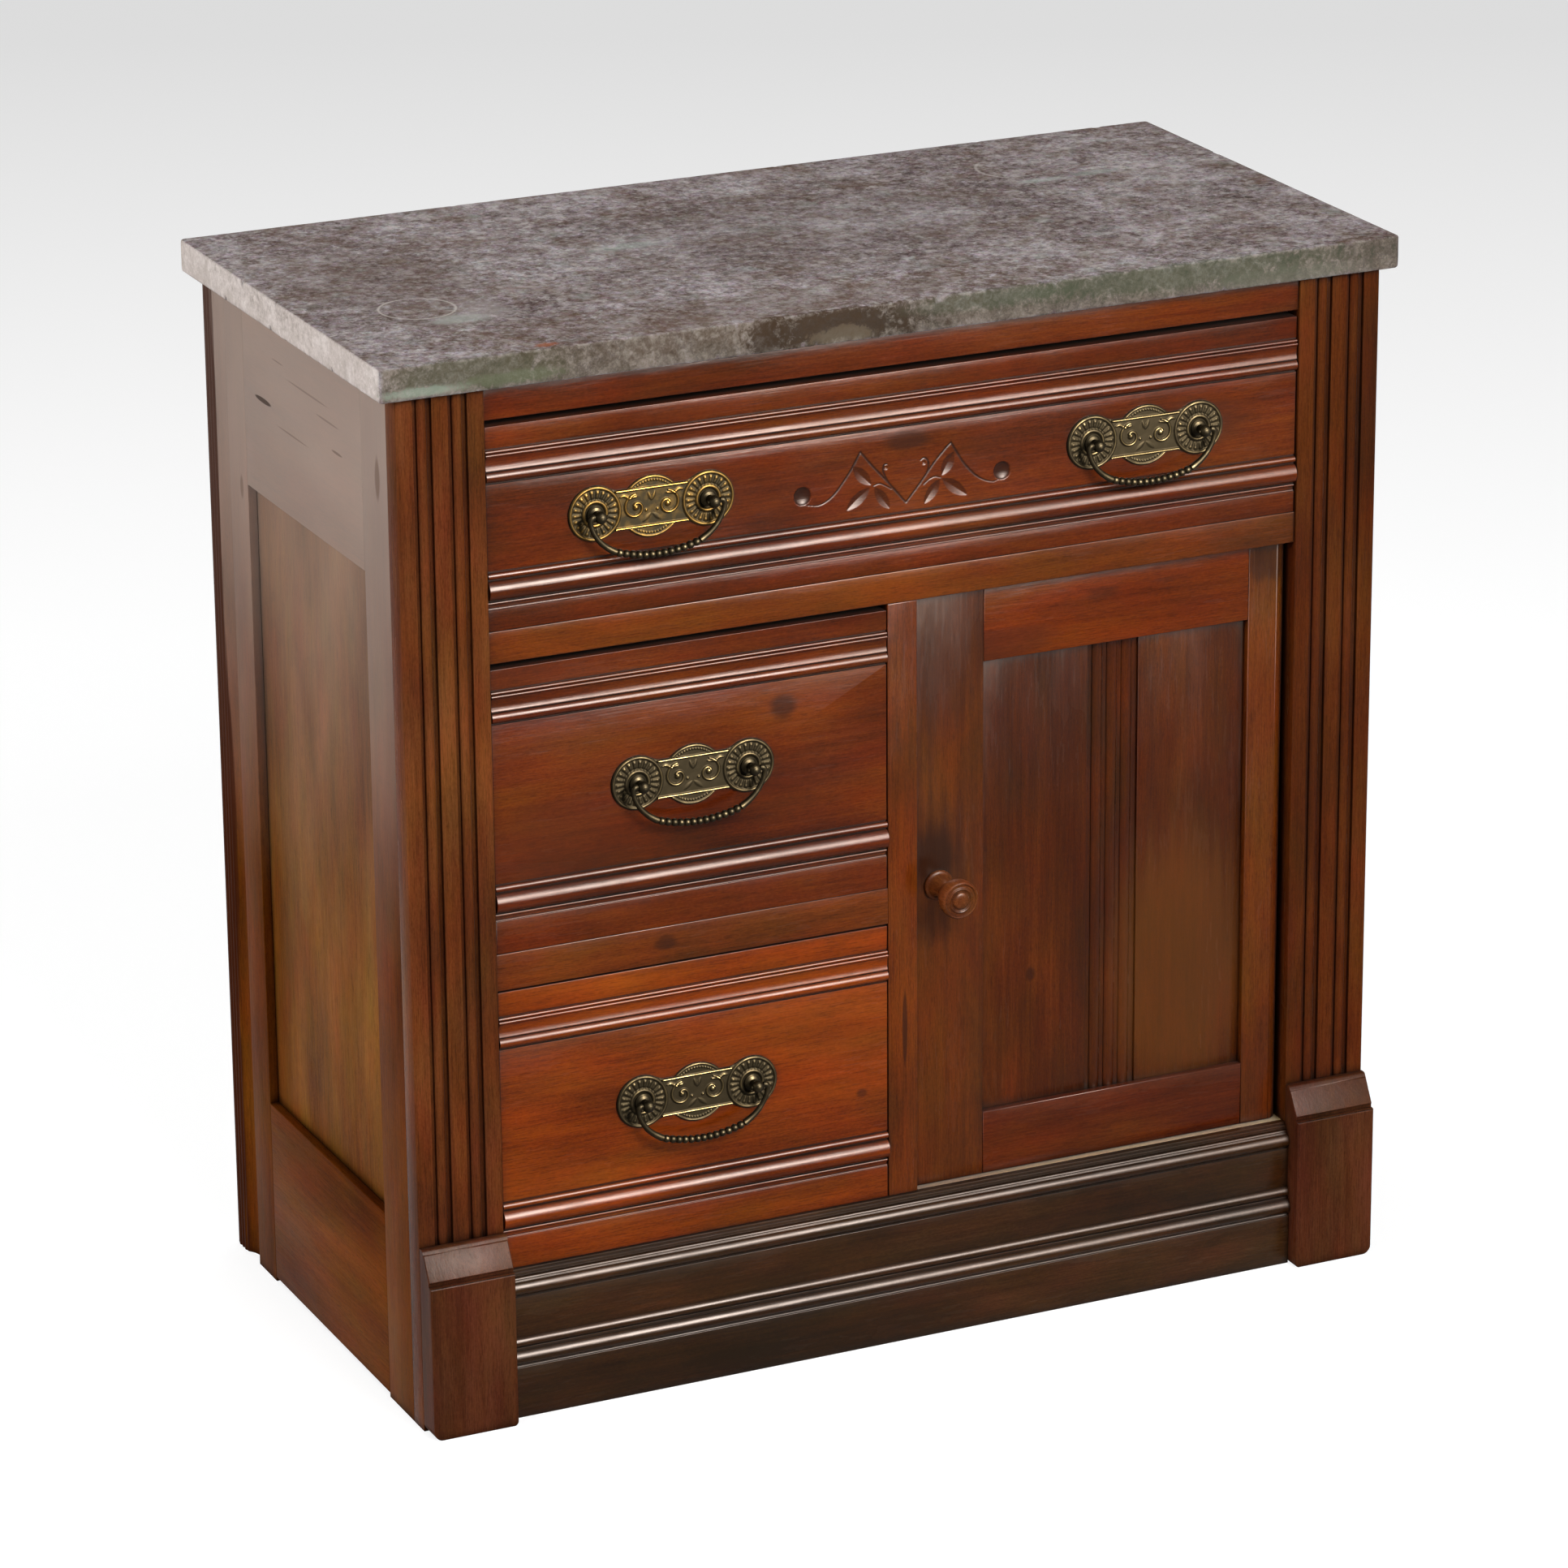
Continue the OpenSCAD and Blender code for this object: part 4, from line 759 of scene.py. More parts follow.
@dataclass(frozen=True)
class AntiqueBrass:
    """Stamped and cast brass that has tarnished to a dark olive-brown.

    Hands have rubbed the raised parts back to dull gold, and black wax sits in the
    hollows. A "rubbed" attribute on the mesh says where it is raised.
    """

    name: str
    patina: str
    rubbed: str
    hollow: str = "#15110A"
    roughness: float = 0.42

    def dress(self, raised: float | None = None) -> bpy.types.Material:
        """Makes the material.

        Args:
            raised: How much the whole piece is rubbed, or None to read the attribute.

        Returns:
            The material.
        """
        material, tree = new_material(self.name)
        place = add(tree, "TexCoord").outputs["Object"]
        blotch = add(tree, "TexNoise", links={
            "Vector": place, "Scale": 1 / (9 * MM), "Detail": 4.0, "Roughness": 0.65
        })
        if raised is None:
            raised = add(tree, "Attribute", attribute_name="rubbed").outputs["Fac"]
        worn = add(tree, "Math", blotch, 0.9, -0.45, operation="MULTIPLY_ADD")
        worn = add(tree, "Math", worn, raised, operation="ADD")
        stops = ((0.12, self.hollow), (0.42, self.patina), (0.95, self.rubbed))
        colour = add(tree, "ValToRGB", worn, stops=stops)
        corner = add(tree, "AmbientOcclusion", links={"Distance": 2.5 * MM}, samples=8)
        dirt_and_shade = add(tree, "MapRange", corner.outputs["AO"], 0.2, 0.8, 0.85, 0.0)
        most, least = self.roughness + 0.16, self.roughness - 0.1
        bump = {"Strength": 0.25, "Distance": 0.2 * MM, "Height": blotch}
        shader = add(tree, "BsdfPrincipled", links={
            "Base Color": over(tree, colour, dirt_and_shade, self.hollow),
            "Metallic": 1.0,
            "Roughness": add(tree, "MapRange", worn, 0.2, 0.9, most, least),
            "Normal": add(tree, "Bump", links=bump),
        })
        add(tree, "OutputMaterial", shader)
        return material


# --------------------------------------------------------------------------- marble


@dataclass(frozen=True)
class MarbleSlab:
    """The slab: sawn, with worn and slightly chipped arrises and a flat top.

    The steps of its edge, from the top to the bottom, hold how far in the edge lies and
    its height from the top, in millimetres, and how rubbed it is there.
    """

    node: str = "marble_top"
    step: float = 1.3 * MM
    corner: float = 4.0 * MM
    corner_steps: int = 6
    # The wear may take this share of the room that the corner and the side leave it
    wear_room: float = 0.9
    waviness: float = 55.0
    # The largest chip in mm, where the noise starts one, and how fast it grows from there
    chip: float = 2.0
    chip_start: float = 0.42
    chip_growth_top: float = 4.0
    chip_growth_bottom: float = 6.5
    # Heights from the top in mm: the sawn face has no chips, and what lies lower than the
    # middle belongs to the bottom arris
    sawn_face: tuple[float, float] = (-20.0, -4.0)
    middle: float = -12.0
    steps: tuple[Place, ...] = (
        (1.7, 0.0, 0.3), (1.05, -0.1, 0.8), (0.55, -0.35, 1.0), (0.2, -0.8, 1.0),
        (0.04, -1.35, 0.4), (0.0, -2.2, 0.0), (0.0, -5.0, 0.0), (0.0, -9.0, 0.0),
        (0.0, -14.0, 0.0), (0.0, -18.5, 0.0), (0.05, -21.0, 0.3),
        (0.4, -22.2, 0.8), (1.2, -22.85, 0.7), (2.0, -23.0, 0.0),
    )
    stains: tuple[Mark, ...] = (
        Mark((-0.259, -0.1665, 0.760), (0.007, 0.004, 0.003), "#94502F", 0.7),
        Mark((-0.310, -0.176, 0.750), (0.055, 0.006, 0.012), "#464A34", 0.5),
        Mark((-0.350, -0.176, 0.742), (0.026, 0.004, 0.003), "#97A594", 0.55),
        Mark((-0.285, -0.176, 0.744), (0.032, 0.004, 0.004), "#697057", 0.45),
        Mark((-0.050, -0.176, 0.750), (0.052, 0.006, 0.012), "#3B3026", 0.88, 0.7),
        Mark((-0.048, -0.176, 0.742), (0.018, 0.006, 0.006), "#7C705F", 0.5, 0.6),
        Mark((-0.105, -0.176, 0.746), (0.012, 0.006, 0.014), "#3B3026", 0.75, 0.7),
        Mark((0.060, -0.176, 0.754), (0.055, 0.006, 0.006), "#586151", 0.45),
        Mark((0.205, -0.176, 0.753), (0.115, 0.006, 0.009), "#4A5540", 0.5),
        Mark((0.290, -0.176, 0.742), (0.050, 0.006, 0.006), "#6A6B5C", 0.5),
        Mark((-0.10, -0.145, 0.760), (0.20, 0.035, 0.02), "#57422F", 0.3),
        Mark((-0.30, 0.03, 0.760), (0.07, 0.12, 0.02), "#54443A", 0.28),
        Mark((-0.262, -0.066, 0.760), (0.014, 0.022, 0.01), "#8E8582", 0.45),
        Mark((-0.285, -0.083, 0.760), (0.018, 0.009, 0.01), "#9DA29B", 0.5),
        Mark((0.02, 0.03, 0.760), (0.18, 0.10, 0.02), "#4F4440", 0.22),
        Mark((0.230, 0.075, 0.760), (0.020, 0.005, 0.01), "#A3B0A6", 0.35),
        Mark((0.275, 0.078, 0.760), (0.018, 0.005, 0.01), "#97A69B", 0.3),
        Mark((-0.11, 0.04, 0.760), (0.024, 0.007, 0.01), "#97A69B", 0.3),
    )

    def build(self) -> bpy.types.Object:
        """Builds and dresses the slab, and gives the piece that stands for the CAD slab."""
        low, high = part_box(self.node)
        mesh = self._mesh(low, high)
        piece = new_piece("marble_slab", mesh, "case", "marble", self.node)
        mesh.materials.append(MottledMarble().dress((low, high), self.stains))
        return piece

    def _rim(self, low: Vector, high: Vector) -> list[tuple[Vector, Vector, float]]:
        """Walks round the slab in plan.

        Args:
            low: Lowest corner of the slab.
            high: Highest corner of the slab.

        Returns:
            Points of the rim, the directions that face out of it, and how far in the
            edge may be worn there.
        """
        r, share = self.corner, self.wear_room
        centre, half = (low + high) / 2, (high - low) / 2
        rim = []
        for number in range(4):
            turn = Matrix.Rotation(math.radians(90 * number), 3, "Z")
            out = turn @ Vector((0, -1, 0))
            run = turn @ Vector((1, 0, 0))
            reach = abs(out.x) * half.x + abs(out.y) * half.y
            length = abs(run.x) * half.x + abs(run.y) * half.y
            count = max(2, round(2 * (length - r) / self.step))
            for k in range(count):
                t = 2 * k / count - 1
                spot = centre + out * reach + run * (length - r) * t
                room = share * (r + (length - r) * (1 - abs(t)))
                rim.append((Vector((spot.x, spot.y, 0)), out.copy(), room))
            for k in range(self.corner_steps):
                angle = math.radians(90 * k / self.corner_steps)
                way = out * math.cos(angle) + run * math.sin(angle)
                spot = centre + out * (reach - r) + run * (length - r) + way * r
                rim.append((Vector((spot.x, spot.y, 0)), way, share * r))
        return rim

    def _mesh(self, low: Vector, high: Vector) -> bpy.types.Mesh:
        """Sweeps the worn edge round the slab and closes top and bottom.

        Args:
            low: Lowest corner of the slab.
            high: Highest corner of the slab.

        Returns:
            The mesh, with a "worn" attribute that is 1 along the arrises.
        """
        points, faces, wear = [], [], []
        rim = self._rim(low, high)
        last = len(self.steps) - 1
        for spot, out, room in rim:
            for k, (inset, drop, worn) in enumerate(self.steps):
                place = Vector((spot.x, spot.y, drop * MM * 0.7)) * self.waviness
                slow = noise.noise(place * 0.5)
                fast = noise.noise(place * 3.1 + Vector((7, 3, 1)))
                cut = self._chipped(spot, drop)
                depth = min(inset + 0.2 + 0.2 * slow + 0.1 * fast + cut, room / MM)
                rise = drop
                if 0 < k < last:
                    rise += cut * (0.7 if drop < self.middle else -0.4) + 0.1 * fast * worn
                points.append((spot.x - out.x * depth * MM, spot.y - out.y * depth * MM,
                               high.z + rise * MM))
                wear.append(min(1.0, worn + cut * 0.6))
        rows, count = len(rim), len(self.steps)
        for i in range(rows):
            here, after = i * count, (i + 1) % rows * count
            for k in range(last):
                faces.append((here + k, here + k + 1, after + k + 1, after + k))
        faces.append([i * count for i in range(rows)])
        faces.append([i * count + last for i in reversed(range(rows))])
        mesh = mesh_from("marble_slab_mesh", points, faces, 50)
        paint(mesh, "worn", wear)
        for polygon in list(mesh.polygons)[-2:]:
            polygon.use_smooth = False
        return mesh

    def _chipped(self, spot: Vector, drop: float) -> float:
        """Gives how deep the arris is chipped at a point of the rim, in millimetres."""
        if self.sawn_face[0] < drop < self.sawn_face[1]:
            return 0.0
        bottom = drop < self.middle
        seat = Vector((spot.x, spot.y, 0.3 if bottom else 0.0)) * self.waviness
        knock = noise.noise(seat * 1.1 + Vector((5, 9, 1)))
        knock += 0.45 * noise.noise(seat * 3.7 + Vector((2, 4, 6)))
        growth = self.chip_growth_bottom if bottom else self.chip_growth_top
        return min(self.chip, max(0.0, knock - self.chip_start) * growth)


# ----------------------------------------------------------------------------- wood


def softened(node: str, arris: float, top_worn: float = 0.0) -> bmesh.types.BMesh:
    """Copies a CAD node's mesh and rounds its long sharp arrises.

    Args:
        node: The CAD node.
        arris: The width of the rounding in metres, or 0 for none.
        top_worn: How far the top edge is worn down, in metres.

    Returns:
        The rounded copy.
    """
    merge, top_band = 2e-6, 0.2 * MM
    least_length, least_angle, flat = 14 * MM, math.radians(38), math.radians(0.4)
    bm = bmesh.new()
    bm.from_mesh(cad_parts[node].data)
    bmesh.ops.remove_doubles(bm, verts=bm.verts, dist=merge)
    bmesh.ops.dissolve_limit(bm, angle_limit=flat, verts=bm.verts, edges=bm.edges)
    top = max(v.co.z for v in bm.verts)
    for vert in bm.verts:
        if vert.co.z > top - top_band:
            vert.co.z -= top_worn
    if arris:
        sharp = [
            e
            for e in bm.edges
            if len(e.link_faces) == 2
            and e.calc_face_angle(0.0) > least_angle
            and e.is_convex
            and e.calc_length() > least_length
        ]
        bmesh.ops.bevel(
            bm, geom=sharp, offset=arris, offset_type="OFFSET", segments=2, profile=0.6,
            affect="EDGES", clamp_overlap=False,
        )
    return bm


@dataclass(frozen=True)
class Board:
    """One wooden node of the CAD model and how it is finished."""

    node: str
    body: str
    slot: str
    finish: VarnishedWood | BareWood
    grain: Grain
    arris: float = 0.7 * MM
    marks: tuple[Mark, ...] = ()
    top_worn: float = 0.0

    def build(self, number: int) -> bpy.types.Object:
        """Builds the board with rounded arrises and its own cut of wood.

        Args:
            number: The board's place in the list, which shifts its grain.

        Returns:
            The piece that stands for the CAD node.
        """
        bm = self.shape()
        mesh = bpy.data.meshes.new(f"{self.node}_mesh")
        bm.to_mesh(mesh)
        bm.free()
        shade(mesh, 32)
        shift = 0.37 + 0.613 * number
        mesh.materials.append(self.finish.dress(self.node, self.grain, shift, self.marks))
        return new_piece(f"{self.node}_wood", mesh, self.body, self.slot, self.node)

    def shape(self) -> bmesh.types.BMesh:
        """Gives the board's shape, with its top edge worn down by top_worn."""
        return softened(self.node, self.arris, self.top_worn)


@dataclass(frozen=True)
class CarvedFront(Board):
    """The long drawer's front with its incised vine between two dished bosses.

    Places are in millimetres across and upward in the row frame. A line holds its half
    width too, a leaf its root, tip and width, and a dot its radius.
    """

    low: tuple[float, float] = (-84.0, 611.5)
    high: tuple[float, float] = (86.0, 659.0)
    step: float = 0.5
    face_y: float = -167.75
    boss_r: float = 6.5
    boss_depth: float = 2.2
    line_depth: float = 0.35
    leaf_depth: float = 1.3
    dot_depth: float = 1.0
    bosses: tuple[tuple[float, float], ...] = ((-74.5, 631.0), (76.0, 629.0))
    lines: tuple[tuple[Place, ...], ...] = (
        ((-72, 624.4, 0.3), (-63, 623, 0.6), (-56, 625.4, 0.9), (-50, 630, 1.1),
         (-44, 637, 1.1), (-38, 645, 1.1), (-33.5, 652.5, 1.1), (-31.2, 656.4, 1.0)),
        ((-31.2, 656.4, 1.0), (-22, 645.2, 1.1), (-10, 631.8, 1.1), (0, 619.8, 1.1),
         (3.2, 616.4, 1.0)),
        ((3.2, 616.4, 1.0), (15, 630, 1.1), (24, 641.3, 1.1), (33, 650.6, 1.1),
         (37.2, 654.2, 1.0)),
        ((37.2, 654.2, 1.0), (41, 647.8, 1.1), (47, 638.2, 1.1), (55, 629.3, 1.1),
         (62, 624.5, 0.8), (69, 622.2, 0.5), (73.5, 623.2, 0.3)),
        ((-9.6, 631.4, 0.7), (-12.6, 637, 0.9), (-14.2, 641.6, 1.0), (-13.3, 645.0, 0.9),
         (-11.0, 645.3, 0.6)),
        ((14.6, 629.6, 0.7), (18.6, 634.5, 0.9), (20.2, 639.6, 1.0), (19.4, 644.0, 1.1),
         (16.6, 646.0, 0.9), (14.0, 644.6, 0.6)),
        ((-21.5, 631.2, 0.5), (-17, 632.3, 0.7), (-12.4, 630.2, 0.7), (-8.2, 627.4, 0.6)),
        ((29.6, 630.2, 0.5), (25, 631.6, 0.7), (20.4, 630.2, 0.7), (16.4, 627.2, 0.6)),
    )
    leaves: tuple[tuple[tuple[float, float], tuple[float, float], float], ...] = (
        ((-23.0, 632.0), (-37.0, 647.0), 8.8),
        ((-24.0, 630.6), (-42.0, 616.4), 8.6),
        ((-20.6, 630.0), (-9.2, 613.4), 8.2),
        ((30.0, 631.6), (39.4, 647.4), 9.0),
        ((28.6, 629.2), (16.8, 613.4), 8.2),
        ((30.4, 629.6), (49.6, 615.2), 9.0),
    )
    dots: tuple[Place, ...] = ((-12.0, 642.7, 1.3), (16.6, 642.6, 1.6))

    def shape(self) -> bmesh.types.BMesh:
        """Gives the front with the carved field set flush into its plain band."""
        bm = softened(self.node, self.arris)
        self._open(bm)
        self._carve(bm)
        # The opening leaves the faces in another order on each run, so they are sorted
        bm.verts.index_update()
        ordered = sorted(bm.faces, key=lambda face: sorted(v.index for v in face.verts))
        for rank, face in enumerate(ordered):
            face.index = rank
        bm.faces.sort()
        return bm

    def _open(self, bm: bmesh.types.BMesh) -> None:
        """Takes a rectangle for the carving out of the plain band's face."""
        y = self.face_y * MM

        def plain(face: bmesh.types.BMFace) -> bool:
            """Tells whether a face lies in the plain band's plane."""
            return face.normal.y < -0.999 and abs(face.calc_center_median().y - y) < 1e-5

        x0, z0 = (v * MM for v in self.low)
        x1, z1 = (v * MM for v in self.high)
        cuts = (((x0, 0, 0), (1, 0, 0)), ((x1, 0, 0), (1, 0, 0)),
                ((0, 0, z0), (0, 0, 1)), ((0, 0, z1), (0, 0, 1)))
        for place, way in cuts:
            faces = [f for f in bm.faces if plain(f)]
            geom = faces + list({e for f in faces for e in f.edges})
            geom += list({v for f in faces for v in f.verts})
            bmesh.ops.bisect_plane(bm, geom=geom, plane_co=place, plane_no=way, dist=1e-7)
        inner = [
            f
            for f in bm.faces
            if plain(f)
            and x0 < f.calc_center_median().x < x1
            and z0 < f.calc_center_median().z < z1
        ]
        bmesh.ops.delete(bm, geom=inner, context="FACES")

    def _depths(self, x: np.ndarray, z: np.ndarray) -> tuple[np.ndarray, np.ndarray]:
        """Gives how deep the carving is at each place, and how dark from 0 to 1."""
        # dark is how strongly the carving's painted shade shows
        depth, dark = np.zeros_like(x), np.zeros_like(x)
        for line in self.lines:
            cut = np.clip(stroke(x, z, smooth_path(line, 5)), 0, 1)
            depth = np.maximum(depth, cut * self.line_depth)
            dark = np.maximum(dark, np.clip(cut * 1.8, 0, 0.8))
        for root, tip, wide in self.leaves:
            cut = leaf(x, z, root, tip, wide)
            depth = np.maximum(depth, cut * self.leaf_depth)
            dark = np.maximum(dark, np.clip(cut * 4, 0, 0.5))
        for across, up, r in self.dots:
            cut = np.clip(1 - np.hypot(x - across, z - up) / r, 0, 1)
            depth = np.maximum(depth, np.sqrt(cut) * self.dot_depth)
        for across, up in self.bosses:
            near = 1 - (np.hypot(x - across, z - up) / self.boss_r) ** 2
            depth = np.maximum(depth, np.sqrt(np.clip(near, 0, 1)) * self.boss_depth)
            dark = np.maximum(dark, np.clip(near * 5, 0, 0.78))
        depth[0, :] = depth[-1, :] = depth[:, 0] = depth[:, -1] = 0
        return depth, dark

    def _carve(self, bm: bmesh.types.BMesh) -> None:
        """Fills the rectangle with a fine field whose "carved" layer tells how dark it is."""
        carved = bm.verts.layers.float.new("carved")
        xs, zs = (
            np.linspace(a, b, round((b - a) / self.step) + 1) for a, b in zip(self.low, self.high)
        )
        depth, dark = self._depths(*np.meshgrid(xs, zs))
        rows = []
        for i, up in enumerate(zs):
            row = []
            for j, across in enumerate(xs):
                vert = bm.verts.new((across * MM, (self.face_y + depth[i, j]) * MM, up * MM))
                vert[carved] = float(dark[i, j])
                row.append(vert)
            rows.append(row)
        for lower, upper in zip(rows, rows[1:]):
            for j in range(len(xs) - 1):
                bm.faces.new((lower[j], lower[j + 1], upper[j + 1], upper[j]))


@dataclass(frozen=True)
class TurnedKnob(Board):
    """The door's knob, turned finer than its CAD node and with two rings on its face.

    The section holds radii and places in front of the door's face, in millimetres.
    """

    axis: tuple[float, float] = (30.45, 332.7)
    face_y: float = -160.75
    turns: int = 96
    section: tuple[tuple[float, float], ...] = (
        (10.3, 0.25), (10.8, 0.5), (11.0, 1.0), (11.0, 1.9), (10.7, 2.6), (10.0, 3.1),
        (9.2, 3.5), (8.6, 4.2), (7.9, 6.2), (7.2, 9.0), (6.7, 12.0), (6.7, 14.5),
        (7.1, 17.0), (7.9, 19.2), (9.2, 21.2), (11.0, 23.4), (12.6, 25.8), (13.6, 28.6),
        (14.0, 31.4), (14.0, 33.8), (13.7, 35.4), (13.2, 36.4), (12.5, 36.9), (11.9, 36.8),
        (11.5, 36.3), (11.2, 35.9), (9.6, 35.9), (9.2, 36.1), (8.9, 36.6), (8.4, 36.9),
        (7.9, 36.7), (7.6, 36.2), (7.2, 36.0), (6.5, 36.0), (6.2, 36.4), (5.8, 37.2),
        (4.8, 37.7), (2.5, 37.95), (0.0, 38.0),
    )

    def shape(self) -> bmesh.types.BMesh:
        """Gives the turning, with the CAD node's own spindle behind it."""
        bm = softened(self.node, self.arris)
        behind = (self.face_y - self.section[0][1]) * MM
        head = [f for f in bm.faces if f.calc_center_median().y < behind]
        bmesh.ops.delete(bm, geom=head, context="FACES")
        rings = []
        for radius, ahead in self.section:
            ring = []
            for k in range(self.turns if radius else 1):
                angle = math.tau * k / self.turns
                x = self.axis[0] + radius * math.cos(angle)
                z = self.axis[1] + radius * math.sin(angle)
                ring.append(bm.verts.new((x * MM, (self.face_y - ahead) * MM, z * MM)))
            rings.append(ring)
        for inner, outer in zip(rings, rings[1:]):
            for k in range(self.turns):
                after = (k + 1) % self.turns
                corners = [inner[k], inner[after]]
                corners += [outer[after], outer[k]] if len(outer) > 1 else [outer[0]]
                bm.faces.new(corners)
        bm.faces.new(rings[0][::-1])
        bmesh.ops.recalc_face_normals(bm, faces=bm.faces)
        return bm


def case_boards() -> list[Board]:
    """Lists all boards of the case, the drawers and the door, with their finishes."""
    boards: list[Board] = []

    def put(
        nodes: str,
        body: str,
        slot: str,
        finish: VarnishedWood | BareWood,
        grain: Grain,
        arris: float = 0.7 * MM,
        marks: tuple[Mark, ...] = (),
        kind: type[Board] = Board,
        top_worn: float = 0.0,
    ) -> None:
        """Adds one board for each name in nodes."""
        for node in nodes.split():
            boards.append(kind(node, body, slot, finish, grain, arris, marks, top_worn))

    across, depth, upright = Grain.ACROSS, Grain.DEPTH, Grain.UPRIGHT
    put("left_pilaster", "case", "case_wood", LEFT_PILASTER, upright, 0.4 * MM)
    put("right_pilaster", "case", "case_wood", RIGHT_PILASTER_SHADED, upright, 0.4 * MM)
    put("left_plinth_block right_plinth_block", "case", "dark_wood", BLOCK_DARK, upright)
    knot = Mark((-0.368, -0.1352, 0.674), (0.004, 0.004, 0.012), "#5A4032", 0.5, 0.7)
    knock = Mark((-0.368, 0.1253, 0.598), (0.004, 0.0025, 0.007), "#5A463A", 0.45, 0.7)
    # A dark strip painted along the rear edge of the left side
    rear_dark_strip = Mark((-0.368, 0.194, 0.36), (0.012, 0.016, 0.70), "#3A190D", 0.85, 0.2)
    gouges = (
        Mark((-0.368, 0.076, 0.673), (0.004, 0.011, 0.0013), "#33231A", 0.85, 0.4),
        Mark((-0.368, 0.020, 0.662), (0.004, 0.022, 0.0005), "#5A463A", 0.4, 0.5),
        Mark((-0.368, -0.010, 0.700), (0.004, 0.030, 0.0006), "#54423A", 0.35, 0.5),
        Mark((-0.368, -0.045, 0.690), (0.004, 0.016, 0.0006), "#54423A", 0.35, 0.5),
        Mark((-0.368, 0.046, 0.708), (0.004, 0.010, 0.0005), "#54423A", 0.4, 0.5),
        Mark((-0.368, -0.062, 0.672), (0.004, 0.008, 0.0008), "#4A362C", 0.5, 0.5),
    )
    for side, front_marks, rear_marks, rail_marks in (
        ("left", (knot,), (knock, rear_dark_strip), gouges),
        ("right", (), (), ()),
    ):
        for part, finish, grain, arris, marks in (
            ("front_stile", SIDE_BROWN, upright, 0.5 * MM, front_marks),
            ("rear_stile", SIDE_BROWN, upright, 0.5 * MM, rear_marks),
            ("top_rail", SIDE_BROWN, depth, 0.7 * MM, rail_marks),
            ("bottom_rail", SIDE_BROWN, depth, 0.7 * MM, ()),
            ("panel", SIDE_PANEL, upright, 0.7 * MM, ()),
        ):
            put(f"{side}_side_{part}", "case", "case_wood", finish, grain, arris, marks)
    put("front_top_rail", "case", "front_wood", FRONT_RED, across)
    put("upper_divider_rail", "case", "case_wood", CASE_BROWN, across)
    put("lower_divider_rail", "case", "case_wood", CASE_BROWN, across,
        marks=(Mark((-0.180, -0.168, 0.3275), (0.008, 0.01, 0.005), "#2A150C"),))
    put("centre_stile", "case", "case_wood", CASE_BROWN, upright,
        marks=(Mark((0.0015, -0.168, 0.2337), (0.0016, 0.01, 0.022), "#2A150C", 0.7, 0.5),))
    put("base_board", "case", "dark_wood", BASE_DARK, across, 0.3 * MM)
    for nodes, finish, grain in (
        ("back_rails", INNER_PINE, across),
        ("back_boards", BACK_PINE, upright),
        ("partition door_stop", INNER_PINE, upright),
        ("cupboard_floor", INNER_PINE, across),
        ("drawer_runners", INNER_PINE, depth),
    ):
        put(nodes, "case", "inner_wood", finish, grain)
    for drawer, finish, kind, top_worn, marks in (
        ("long_drawer", FRONT_RED, CarvedFront, 0.0,
         (Mark((0.004, -0.168, 0.660), (0.016, 0.01, 0.006), "#31180E", 0.7),
          Mark((0.215, -0.168, 0.64), (0.05, 0.01, 0.02), "#4A2110", 0.4))),
        ("middle_drawer", FRONT_RED, Board, 3.0 * MM,
         (Mark((-0.0902, -0.168, 0.4842), (0.010, 0.01, 0.009), "#28120A", 0.7),
          Mark((-0.26, -0.168, 0.41), (0.05, 0.01, 0.03), "#4E2412", 0.35))),
        ("lower_drawer", FRONT_ORANGE, Board, 0.0,
         (Mark((-0.032, -0.168, 0.19), (0.004, 0.01, 0.003), "#35190F"),)),
    ):
        front, plain = f"{drawer}_front", f"{drawer}_left_side {drawer}_right_side {drawer}_bottom"
        put(front, drawer, "front_wood", finish, across, 0.3 * MM, marks, kind, top_worn)
        put(plain, drawer, "inner_wood", INNER_PINE, depth, 0.5 * MM)
        put(f"{drawer}_back", drawer, "inner_wood", INNER_PINE, across)
    put("door_latch_stile", "door", "case_wood", STILE_BROWN, upright, marks=(
        Mark((0.027, -0.161, 0.353), (0.016, 0.01, 0.022), "#1E0F08", 0.75),
        Mark((0.022, -0.161, 0.345), (0.030, 0.01, 0.050), "#331A0E", 0.5),
        Mark((0.030, -0.161, 0.520), (0.040, 0.01, 0.060), "#34180D", 0.55),
    ))
    put("door_hinge_stile", "door", "case_wood", STILE_BROWN, upright, marks=(
        Mark((0.290, -0.161, 0.533), (0.018, 0.01, 0.014), "#251209"),
    ))
    put("door_top_rail", "door", "front_wood", DOOR_TOP, across, marks=(
        Mark((0.159, -0.161, 0.5276), (0.012, 0.01, 0.004), "#3A1A0C", 0.4),
        Mark((0.085, -0.161, 0.502), (0.035, 0.01, 0.010), "#4A2412", 0.5),
    ))
    put("door_bottom_rail", "door", "front_wood", DOOR_BOTTOM, across)
    put("door_panel", "door", "dark_wood", PANEL_DARK, upright, 0.3 * MM, (
        Mark((0.1065, -0.155, 0.2508), (0.0035, 0.01, 0.005), "#241008"),
        Mark((0.225, -0.155, 0.24), (0.05, 0.012, 0.09), "#7C4A1E", 0.35),
    ))
    put("door_knob", "knob", "case_wood", TURNED_WOOD, depth, 0.0, (), TurnedKnob)
    put("latch_tongue", "knob", "inner_wood", INNER_PINE, upright)
    return boards


# ---------------------------------------------------------------------------- brass


def ridge(distance: np.ndarray, half: float) -> np.ndarray:
    """Gives a rounded ridge: 1 on its middle, falling to 0 at half its width."""
    return np.clip(1 - (distance / half) ** 2, 0, 1)


